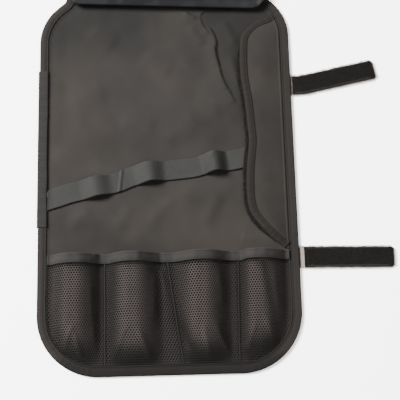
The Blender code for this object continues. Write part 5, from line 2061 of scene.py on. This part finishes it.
    def fray(self, closure: Closure, seed: int) -> Shell:
        """Pale yarn ends along the webbing's two edges and its tip, leaning outwards.

        Args:
            closure: Which strap.
            seed: Seed of the random places.

        Returns:
            The yarn ends.
        """
        draw = np.random.default_rng(seed)
        half, count = self.width / 2 - 0.1 * MM, 700
        straight = closure.length - self.tip_radius
        where = draw.uniform(0, 2 * straight + 2 * half, count)
        side = where < 2 * straight
        way = np.where(where < straight, 1.0, -1.0)
        along = np.where(side, where % straight, closure.length - 0.3 * MM)
        across = np.where(side, way * half, (where - 2 * straight - half) * 0.8)
        x, s = self.place(closure, along, across)
        out = np.stack([np.where(side, 0.0, 1.0), np.where(side, way, 0.0), 0.5 + 0.0 * x], axis=1)
        out /= np.linalg.norm(out, axis=1, keepdims=True)
        at = self.sheet.lay(x, s, self.thickness + self.pad_wall * draw.uniform(0.2, 0.8, count))
        return pile_loops(at, out, 1.0 * MM, 1.1 * MM, 0.16 * MM, seed + 1)

    def build(self, wardrobe: Wardrobe) -> list[bpy.types.Object]:
        """Build both straps: webbing, pad backing, the pad's loops and the frayed edges."""
        made = []
        for number, closure in enumerate(CLOSURES):
            seed = 121 + 10 * number
            webbing = make_piece(f"closure_webbing_{closure.name}",
                                 self.strip(closure, 0.0, self.width, 0.0, self.thickness, seed),
                                 [wardrobe.pale_webbing])
            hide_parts(f"closure_strap_{closure.name}")
            pad = make_piece(f"closure_pile_{closure.name}",
                             self.strip(closure, closure.bare, self.pad_width,
                                        self.thickness + self.sheet.clearance, self.pad_wall - 0.5 * MM, seed),
                             [wardrobe.pile])
            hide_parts(f"closure_pad_{closure.name}")
            loops = make_piece(f"closure_loops_{closure.name}", self.loops(closure, seed), [wardrobe.pile])
            fray = make_piece(f"closure_fray_{closure.name}", self.fray(closure, seed + 5),
                              [wardrobe.pale_webbing])
            sewn = make_piece(f"closure_stitches_{closure.name}", self.edge_stitches(closure),
                              [wardrobe.pale_thread])
            made += [webbing, pad, loops, fray, sewn]
        return made


# Studio

@dataclass(frozen=True)
class Studio:
    """A pale floor, soft lights and the camera over the roll.

    Attributes:
        azimuth: The camera's turn about +Z in degrees.
        elevation: Its height above the horizon in degrees.
        distance: Its distance from the target.
        target: The point that it looks at.
        lens: Its focal length on a 36 mm sensor.
    """

    azimuth: float = -1.5
    elevation: float = 76.0
    distance: float = 1.160
    target: tuple[float, float, float] = (0.0385, -0.0265, 0.0)
    lens: float = 88.47

    def camera(self) -> None:
        """Stand the camera off its target along its own back vector."""
        az, el = np.radians(self.azimuth), np.radians(self.elevation)
        back = np.array([np.sin(az) * np.cos(el), -np.cos(az) * np.cos(el), np.sin(el)])
        right = np.array([np.cos(az), np.sin(az), 0.0])
        up = np.cross(back, right)
        place = np.array(self.target) + self.distance * back
        view = bpy.data.cameras.new("photo_view")
        view.lens = self.lens
        view.sensor_width = 36.0
        view.clip_start = 0.01
        holder = bpy.data.objects.new("photo_view", view)
        turned = np.eye(4)
        turned[:3] = np.column_stack([right, up, back, place])
        holder.matrix_world = Matrix(turned.tolist())
        bpy.context.scene.collection.objects.link(holder)
        bpy.context.scene.camera = holder

    def light(self, name: str, place: tuple, size: float, power: float) -> None:
        """Hang a square soft box at a place, facing the roll's middle."""
        lamp = bpy.data.lights.new(name, "AREA")
        lamp.shape = "SQUARE"
        lamp.size = size
        lamp.energy = power
        holder = bpy.data.objects.new(name, lamp)
        spot = np.array(place)
        back = spot / np.linalg.norm(spot)
        right = np.cross([0.0, 1.0, 0.0], back)
        right /= np.linalg.norm(right)
        turned = np.eye(4)
        turned[:3] = np.column_stack([right, np.cross(back, right), back, spot])
        holder.matrix_world = Matrix(turned.tolist())
        bpy.context.scene.collection.objects.link(holder)

    def floor(self) -> None:
        """Lay a wide pale floor just under the roll."""
        mesh = bpy.data.meshes.new("studio_floor")
        corners = [(-9, -9, -0.0004), (9, -9, -0.0004), (9, 9, -0.0004), (-9, 9, -0.0004)]
        mesh.from_pydata(corners, [], [(0, 1, 2, 3)])
        # Matt painted paper, rolled: an even pale ground that only takes soft shadows
        paper = bpy.data.materials.new("studio_paper_matt")
        paper.use_nodes = True
        shader = paper.node_tree.nodes["Principled BSDF"]
        shader.inputs["Base Color"].default_value = linear("#fbfaf9")
        shader.inputs["Roughness"].default_value = 0.9
        shader.inputs["Specular IOR Level"].default_value = 0.1
        mesh.materials.append(paper)
        floor = bpy.data.objects.new("studio_floor", mesh)
        bpy.context.scene.collection.objects.link(floor)

    def build(self) -> None:
        """Set the camera, the lights, the sky's even light and the floor."""
        self.camera()
        self.light("key_softbox", (-1.9, 0.75, 2.15), 1.2, 700.0)
        self.light("fill_softbox", (1.1, -1.0, 2.2), 1.4, 70.0)
        world = bpy.data.worlds.new("studio_air")
        world.use_nodes = True
        sky = world.node_tree.nodes["Background"]
        sky.inputs["Color"].default_value = linear("#ffffff")
        sky.inputs["Strength"].default_value = 0.7
        bpy.context.scene.world = world
        self.floor()


def build_roll() -> None:
    wardrobe = Wardrobe()
    sheet = Sheet()
    panel = MainPanel(sheet).build(wardrobe)
    rim = EdgeBinding(sheet).build(wardrobe)
    left = LeftTape(sheet).build(wardrobe)
    MeshPockets(sheet).build(wardrobe)
    GuardFlap(sheet).build(wardrobe)
    RetainingStrap(sheet).build(wardrobe)
    ClosureStraps(sheet).build(wardrobe)


def main() -> None:
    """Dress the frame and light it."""
    logging.basicConfig(level=logging.INFO, format="%(message)s")
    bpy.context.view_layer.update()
    build_roll()
    Studio().build()


if __name__ == "__main__":
    main()
